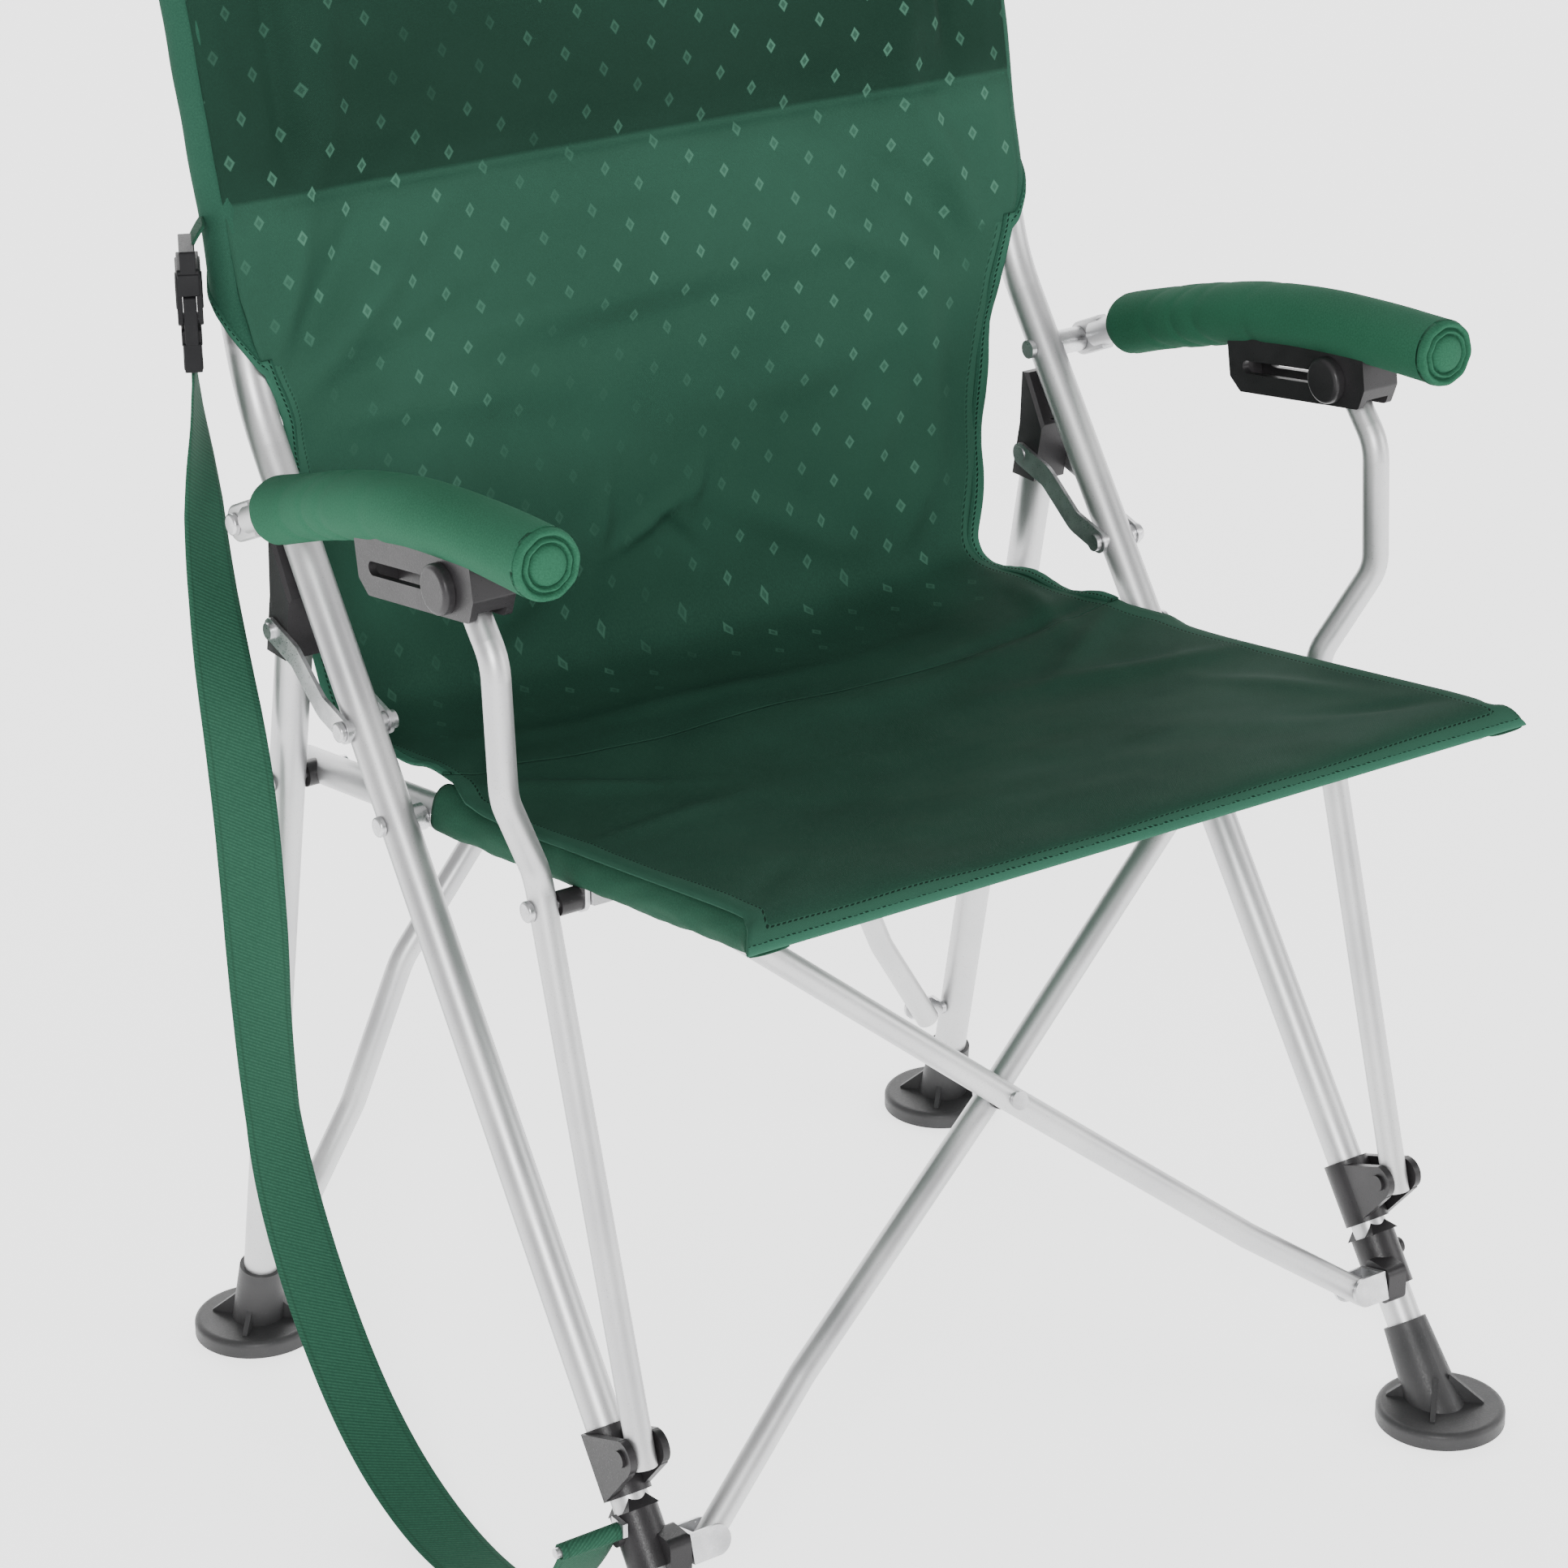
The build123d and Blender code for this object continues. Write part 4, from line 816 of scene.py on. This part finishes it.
def cloth_shape():
    """Places and flat places of the whole sling, from the seat's front edge to the top of the back."""
    rows, columns = 380, 141
    line = smooth_line([(0, y, z) for y, z in CLOTH_LINE], rows)
    tangents = np.gradient(line, axis=0)
    tangents /= np.linalg.norm(tangents, axis=1, keepdims=True)
    behind = np.stack([np.zeros(rows), tangents[:, 2], -tangents[:, 1]], axis=1)
    travelled = np.concatenate([[0], np.cumsum(np.linalg.norm(np.diff(line, axis=0), axis=1))])
    crease = travelled[np.argmin(np.abs(line[:, 1] - CREASE[0]) + np.abs(line[:, 2] - CREASE[1]))]
    on_back = ease(travelled, crease - 0.02, crease + 0.02)
    seat_half = np.interp(line[:, 1], *zip(*SEAT_HALF))
    back_half = np.interp(line[:, 2], *zip(*BACK_HALF))
    half = seat_half * (1 - on_back) + back_half * on_back
    loose_side = ease(line[:, 1], 0.03, 0.08) * ease(-line[:, 2], -0.66, -0.60)
    half = half + 0.0012 * np.sin(travelled * 60) * loose_side
    share = np.linspace(-1, 1, columns)
    x = half[:, None] * share[None, :]
    sag = np.interp(travelled - crease, *zip(*SAG))
    drop = sag[:, None] * (1 - np.abs(share[None, :]) ** 2.2)
    over_rail = np.maximum(0, np.abs(x) - RAIL_X) * ease(-line[:, 1], -0.01, 0.02)[:, None]
    over_rail = over_rail * ease(line[:, 1], -0.300, -0.284)[:, None]
    round_r = TUNNEL_R + 0.0012
    drop = drop + round_r - np.sqrt(round_r ** 2 - np.minimum(over_rail, round_r * 0.9) ** 2)
    up_back = on_back[:, None]
    z = line[:, 2][:, None] * np.ones_like(x)
    y = line[:, 1][:, None] * np.ones_like(x)
    free = 1 - np.abs(share[None, :]) ** 10
    lift = np.zeros_like(x)
    for crumple in BACK_FOLDS:
        lift += fold(x, z, *crumple) * up_back
    for crumple in SEAT_FOLDS:
        lift += fold(x, y, *crumple) * (1 - up_back)
    lift += rumple(x, travelled[:, None] * np.ones_like(x), 8, 0.0045, 1.7)
    lift += rumple(x, travelled[:, None] * np.ones_like(x), 24, 0.0013, 5.2)
    lift *= free
    middle = 1 - ease(np.abs(x), SIDE_SEAM_X - 0.016, SIDE_SEAM_X)
    lift += (0.0140 * ease(z, SEAM_Z, SEAM_Z + 0.042) - 0.0020 * ease(z, 0.80, 0.90)) * middle * up_back
    lift -= 0.0028 * np.exp(-(((z - SEAM_Z) / 0.0030) ** 2)) * up_back * (0.4 + 0.6 * middle)
    side_groove = np.exp(-(((np.abs(x) - SIDE_SEAM_X) / 0.003) ** 2)) * ease(z, SEAM_Z + 0.02, SEAM_Z + 0.04)
    lift -= 0.0016 * side_groove
    clear = np.exp(-(((np.abs(x) - 0.244) / 0.016) ** 2)) * np.exp(-(((z - 0.760) / 0.020) ** 2))
    lift += 0.0045 * clear * up_back
    at_post = ease(np.abs(share), 0.94, 1.0)[None, :] * ease(z, 0.69, 0.72) * up_back
    lift -= 0.0030 * at_post
    edge_wave = np.exp(-((1 - np.abs(share[None, :])) / 0.025))
    edge_wave = edge_wave * ease(travelled, crease - 0.16, crease - 0.10)[:, None]
    lift += 0.0030 * edge_wave * np.sin(travelled * 75)[:, None] * ease(-z, -0.66, -0.60)
    places = np.repeat(line[:, None, :], columns, axis=1)
    places[..., 0] = x
    places += behind[:, None, :] * (drop - lift)[..., None]
    cloth = np.zeros_like(places)
    cloth[..., 0] = x
    cloth[..., 1] = (crease - travelled)[:, None]
    hem = half[:, None] - np.abs(x) + 0.05 * ease(z, SHOULDER_Z, SHOULDER_Z + 0.01) * up_back
    hem = np.minimum(hem, travelled[:, None])
    cloth[..., 2] = np.minimum(hem, (travelled[-1] - travelled)[:, None])
    return places, cloth, line


def add_hem(name, edge, inner, thickness, width=0.0088):
    """Rolled hem: a flattened tube along a free edge of cloth."""
    edge = np.asarray(edge)
    inward = np.asarray(inner) - edge
    inward = inward / np.maximum(np.linalg.norm(inward, axis=1, keepdims=True), 1e-9)
    along = np.gradient(edge, axis=0)
    along = along / np.maximum(np.linalg.norm(along, axis=1, keepdims=True), 1e-9)
    normal = np.cross(inward, along)
    normal = normal / np.maximum(np.linalg.norm(normal, axis=1, keepdims=True), 1e-9)
    ring = []
    for step in range(14):
        angle = 2 * math.pi * step / 14
        reach = (1 - math.cos(angle)) / 2
        ring.append((reach * width - 0.0010, math.sin(angle) * thickness / 2 * (1 - 0.4 * reach)))
    count = len(edge)
    places = np.zeros((count, len(ring), 3))
    cloth = np.zeros_like(places)
    travelled = np.concatenate([[0], np.cumsum(np.linalg.norm(np.diff(edge, axis=0), axis=1))])
    pucker = 1 + 0.12 * np.sin(travelled * 2 * math.pi / 0.012)[:, None]
    for column, (inwards, rise) in enumerate(ring):
        places[:, column] = edge + inward * inwards + normal * rise * pucker
        cloth[:, column, 0] = travelled
        cloth[:, column, 1] = inwards
        cloth[:, column, 2] = 0.014 - abs(inwards - width * 0.8)
    faces = grid_faces(count, len(ring), close_columns=True)
    faces.append(tuple(range(len(ring))))
    faces.append(tuple(reversed(range((count - 1) * len(ring), count * len(ring)))))
    return add_mesh(name, places.reshape(-1, 3), faces, CANVAS_EDGE, cloth.reshape(-1, 3))


def add_sling():
    """Seat and back panels, cut from one shape where the rails pivot, with their hems."""
    places, cloth, line = cloth_shape()
    split = int(np.argmax(line[:, 1] >= SPLIT_Y))
    seat = add_grid("seat_panel", places[:split + 1], CANVAS, cloth[:split + 1])
    thicken(seat, 0.0013, offset=-1)
    front = add_hem("seat_hem", places[0], places[6], 0.0030)
    seat_pieces = [seat, front]
    for piece in seat_pieces:
        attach(piece, "rail_left")
    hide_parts("seat")

    back = add_grid("back_panel", places[split:], CANVAS, cloth[split:])
    thicken(back, 0.0013, offset=-1)
    back_pieces = [back]
    lower = [row for row in range(split, len(line)) if line[row, 2] < SHOULDER_Z + 0.006]
    last = places.shape[1] - 1
    for name, column, inner in (("left", 0, 4), ("right", last, last - 4)):
        back_pieces.append(add_hem(f"back_hem_{name}", places[lower, column], places[lower, inner], 0.0032))
    back_pieces.append(add_hem("back_top_hem", places[-1], places[-6], 0.0034))
    for piece in back_pieces:
        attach(piece, "post_left")
    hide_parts("backrest")
    return seat_pieces, back_pieces


def squash_cloth(pieces):
    """Gives each cloth piece its own copy of its mesh."""
    for piece in pieces:
        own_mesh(piece)


def add_tunnels():
    """Sewn tunnel round each seat rail, flattened into the seat's front corner."""
    pieces = []
    for name, side in SIDES.items():
        rows, columns = 84, 40
        places = np.zeros((rows, columns, 3))
        cloth = np.zeros_like(places)
        angles = np.radians(np.linspace(128, -205, columns))
        for row, y in enumerate(np.linspace(-0.3040, 0.034, rows)):
            flat = float(ease(np.array(-y), 0.282, 0.3040))
            wobble = 1 + 0.05 * noise.noise(Vector((side * 3.0, y * 38, 1.3)))
            wide = TUNNEL_R * wobble * (1 - flat) + 0.0125 * flat
            tall = TUNNEL_R * wobble * (1 - flat) + 0.0014 * flat
            middle_x = RAIL_X + 0.006 * flat
            middle_z = rail_z(max(y, -0.292)) * (1 - flat) + 0.4785 * flat
            rise = float(ease(np.array(y), -0.02, 0.034)) * 0.008
            for column, angle in enumerate(angles):
                sine = math.sin(angle)
                crease = 1 + 0.08 * noise.noise(Vector((side * 7.0, y * 60, angle * 1.4)))
                tuck = 0.62 if angle < -2.6 else 1.0
                places[row, column] = (
                    side * (middle_x + wide * crease * math.cos(angle)),
                    y,
                    middle_z + tall * (crease * sine if sine < 0 else sine * tuck) + rise * max(0.0, sine),
                )
                cloth[row, column] = (TUNNEL_R * angle, y, 0.02)
        tunnel = add_grid(f"seat_tunnel_{name}", places, CANVAS_PLAIN, cloth)
        thicken(tunnel, 0.0010, offset=1 if side < 0 else -1)
        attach(tunnel, f"rail_{name}")
        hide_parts("seat")
        pieces.append(tunnel)
    return pieces


# Height of a pocket's mouth against the angle round the post, 90 degrees outwards
POCKET_MOUTH = ((-34, 0.655), (0, 0.662), (70, 0.690), (140, 0.714), (200, 0.732), (262, 0.736))


def add_pockets():
    """Closed pocket over the top of each post, its mouth cut on a slant and hemmed."""
    pieces = []
    for name, side in SIDES.items():
        rows, columns = 96, 48
        angles = np.linspace(-34, 262, columns)
        places = np.zeros((rows, columns, 3))
        cloth = np.zeros_like(places)
        for column, degrees in enumerate(angles):
            angle = math.radians(degrees)
            mouth = np.interp(degrees, *zip(*POCKET_MOUTH))
            for row in range(rows):
                t = row / (rows - 1)
                z = mouth + (0.933 - mouth) * t
                y, x = post_place(min(z, 0.9295))
                close = math.sqrt(max(0.0, 1 - float(ease(np.array(z), 0.924, 0.9335)) ** 2))
                loose = 0.0124 + 0.0014 * math.exp(-t * 14)
                loose += 0.0008 * noise.noise(Vector((side * 4.0 + math.cos(angle), math.sin(angle), z * 30)))
                radius = loose * (0.18 + 0.82 * close)
                out, rear = math.sin(angle), -math.cos(angle)
                places[row, column] = (
                    side * (x + radius * out),
                    y + radius * rear * 0.98,
                    z - radius * rear * 0.21,
                )
                cloth[row, column] = (0.0125 * angle * side, -z, 0.05)
        pocket = add_grid(f"post_pocket_{name}", places, CANVAS_EDGE, cloth)
        thicken(pocket, 0.0012, offset=-1 if side > 0 else 1)
        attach(pocket, f"post_{name}")
        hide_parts("backrest")
        rim = add_hem(f"pocket_hem_{name}", places[0], places[3], 0.0030, width=0.0085)
        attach(rim, f"post_{name}")
        pieces += [pocket, rim]
    return pieces


seat_pieces, back_pieces = add_sling()
squash_cloth(seat_pieces)
squash_cloth(back_pieces)
tunnels = add_tunnels()
pockets = add_pockets()


# ---------------------------------------------------------------- armrest covers

ARM_X = 0.304
ARM_LINE = [
    (0.1185, 0.6045), (0.095, 0.6125), (0.060, 0.6245), (0.017, 0.6375), (-0.030, 0.6490), (-0.080, 0.6565),
    (-0.130, 0.6602), (-0.160, 0.6615), (-0.1820, 0.6622),
]
COVER_R = 0.0198
END_OVERHANG = 0.0035
# Cross creases of a cover: share of its length, width as a share, depth in metres
COVER_CREASES = ((0.21, 0.014, 0.0016), (0.30, 0.010, 0.0020), (0.37, 0.016, 0.0018), (0.52, 0.020, 0.0012))
# Front end of a cover: radius as a share of COVER_R, and how far forward
END_PROFILE = (
    (1.000, -0.0060), (0.985, -0.0030), (0.950, -0.0008), (0.890, 0.0004), (0.820, 0.0000), (0.775, -0.0022),
    (0.750, -0.0040), (0.725, -0.0022), (0.690, 0.0002), (0.640, 0.0004), (0.600, -0.0018), (0.580, -0.0034),
    (0.555, -0.0016), (0.500, 0.0006), (0.350, 0.0016), (0.180, 0.0020), (0.020, 0.0021),
)


def cover_radius(t, angle, place, side):
    """Radius of a cover's sleeve at share t of its length: creases, a seam and a gathered rear end."""
    gather = float(ease(np.array(t), 0.0, 0.05))
    radius = COVER_R * (0.56 + 0.44 * gather ** 0.6)
    spot = Vector((place.y * 20, math.cos(angle) * 1.3, math.sin(angle) * 1.3 + side))
    radius += 0.00075 * noise.noise(spot)
    underneath = 0.35 + 0.65 * max(0, -math.sin(angle))
    for at, width, depth in COVER_CREASES:
        lean = at + 0.05 * math.cos(angle)
        radius -= depth * math.exp(-(((t - lean) / width) ** 2)) * underneath
    radius *= 1 - 0.04 * max(0.0, -math.sin(angle)) ** 3
    return radius - 0.0007 * math.exp(-(((angle - 4.45) / 0.05) ** 2))


def upwards(forward):
    """Unit vector square to forward and to the X axis, pointing up."""
    up = Vector((1, 0, 0)).cross(forward).normalized()
    return up if up.z > 0 else -up


def sleeve_rings(line, tangents, angles, side):
    """Rings of a cover's sleeve, from the rear end forward, with their flat places."""
    rings, cloth = [], []
    travelled = 0.0
    out = Vector((1, 0, 0))
    for row in range(len(line)):
        if row:
            travelled += float(np.linalg.norm(line[row] - line[row - 1]))
        place = Vector(line[row])
        up = upwards(Vector(tangents[row]))
        ring = []
        for angle in angles:
            radius = cover_radius(row / (len(line) - 1), angle, place, side)
            ring.append(place + out * math.cos(angle) * radius + up * math.sin(angle) * radius)
        rings.append(ring)
        cloth.append([(angle * COVER_R, travelled, 0.05) for angle in angles])
    return rings, cloth, travelled


def end_rings(end, forward, angles, side, travelled):
    """Rings of a cover's rolled front end and its round plug."""
    rings, cloth = [], []
    up = upwards(forward)
    for share, reach in END_PROFILE:
        radius = COVER_R * share
        ring, flat = [], []
        for angle in angles:
            pleat = 0.00035 * math.cos(angle * 9 + side) if 0.6 < share < 0.98 else 0
            ring.append(
                end + Vector((1, 0, 0)) * math.cos(angle) * radius + up * math.sin(angle) * radius
                + forward * (reach + END_OVERHANG + pleat)
            )
            flat.append((math.cos(angle) * radius, math.sin(angle) * radius + travelled, 0.05))
        rings.append(ring)
        cloth.append(flat)
    return rings, cloth


def add_covers():
    """Foam armrest covers: sewn sleeve, rolled front end with a round plug, gathered rear end."""
    rows, columns = 130, 56
    angles = [2 * math.pi * column / columns for column in range(columns)]
    for name, side in SIDES.items():
        line = smooth_line([(side * ARM_X, y, z) for y, z in ARM_LINE], rows)
        tangents = np.gradient(line, axis=0)
        tangents /= np.linalg.norm(tangents, axis=1, keepdims=True)
        rings, cloth, travelled = sleeve_rings(line, tangents, angles, side)
        tip_rings, tip_cloth = end_rings(Vector(line[-1]), Vector(tangents[-1]), angles, side, travelled)
        rings += tip_rings
        cloth += tip_cloth
        faces = grid_faces(len(rings), columns, close_columns=True)
        faces.append(tuple(range(columns)))
        faces.append(tuple(reversed(range((len(rings) - 1) * columns, len(rings) * columns))))
        cover = add_mesh(
            f"armrest_cover_{name}", [v for ring in rings for v in ring], faces, ARM_COVER,
            [c for flat in cloth for c in flat],
        )
        fix_normals(cover)
        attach(cover, f"armrest_{name}")
        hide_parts(f"arm_pad_{name}")


add_covers()
fix_normals(strap_piece)
paint_nodes()
add_studio()


def add_floor():
    """Pale seamless floor that curves up far behind the chair."""
    floor, _, shader = new_material("studio_floor", (0.86, 0.86, 0.86), 0.9, specular=0.1)
    shader.inputs["Emission Color"].default_value = (1, 1, 1, 1)
    shader.inputs["Emission Strength"].default_value = 1.75
    half, run = 9.0, 9.0
    profile = [(-run, 0.0), (4.0, 0.0), (5.0, 0.1), (5.8, 0.5), (6.3, 1.2), (6.5, 2.4), (6.5, 8.0)]
    vertices = [(x, y, z) for y, z in profile for x in (-half, half)]
    faces = [(2 * i, 2 * i + 1, 2 * i + 3, 2 * i + 2) for i in range(len(profile) - 1)]
    backdrop = add_mesh("floor", vertices, faces, floor)
    turn = Matrix.Rotation(math.radians(-34.8), 4, "Z")
    backdrop.data.transform(turn)


add_floor()
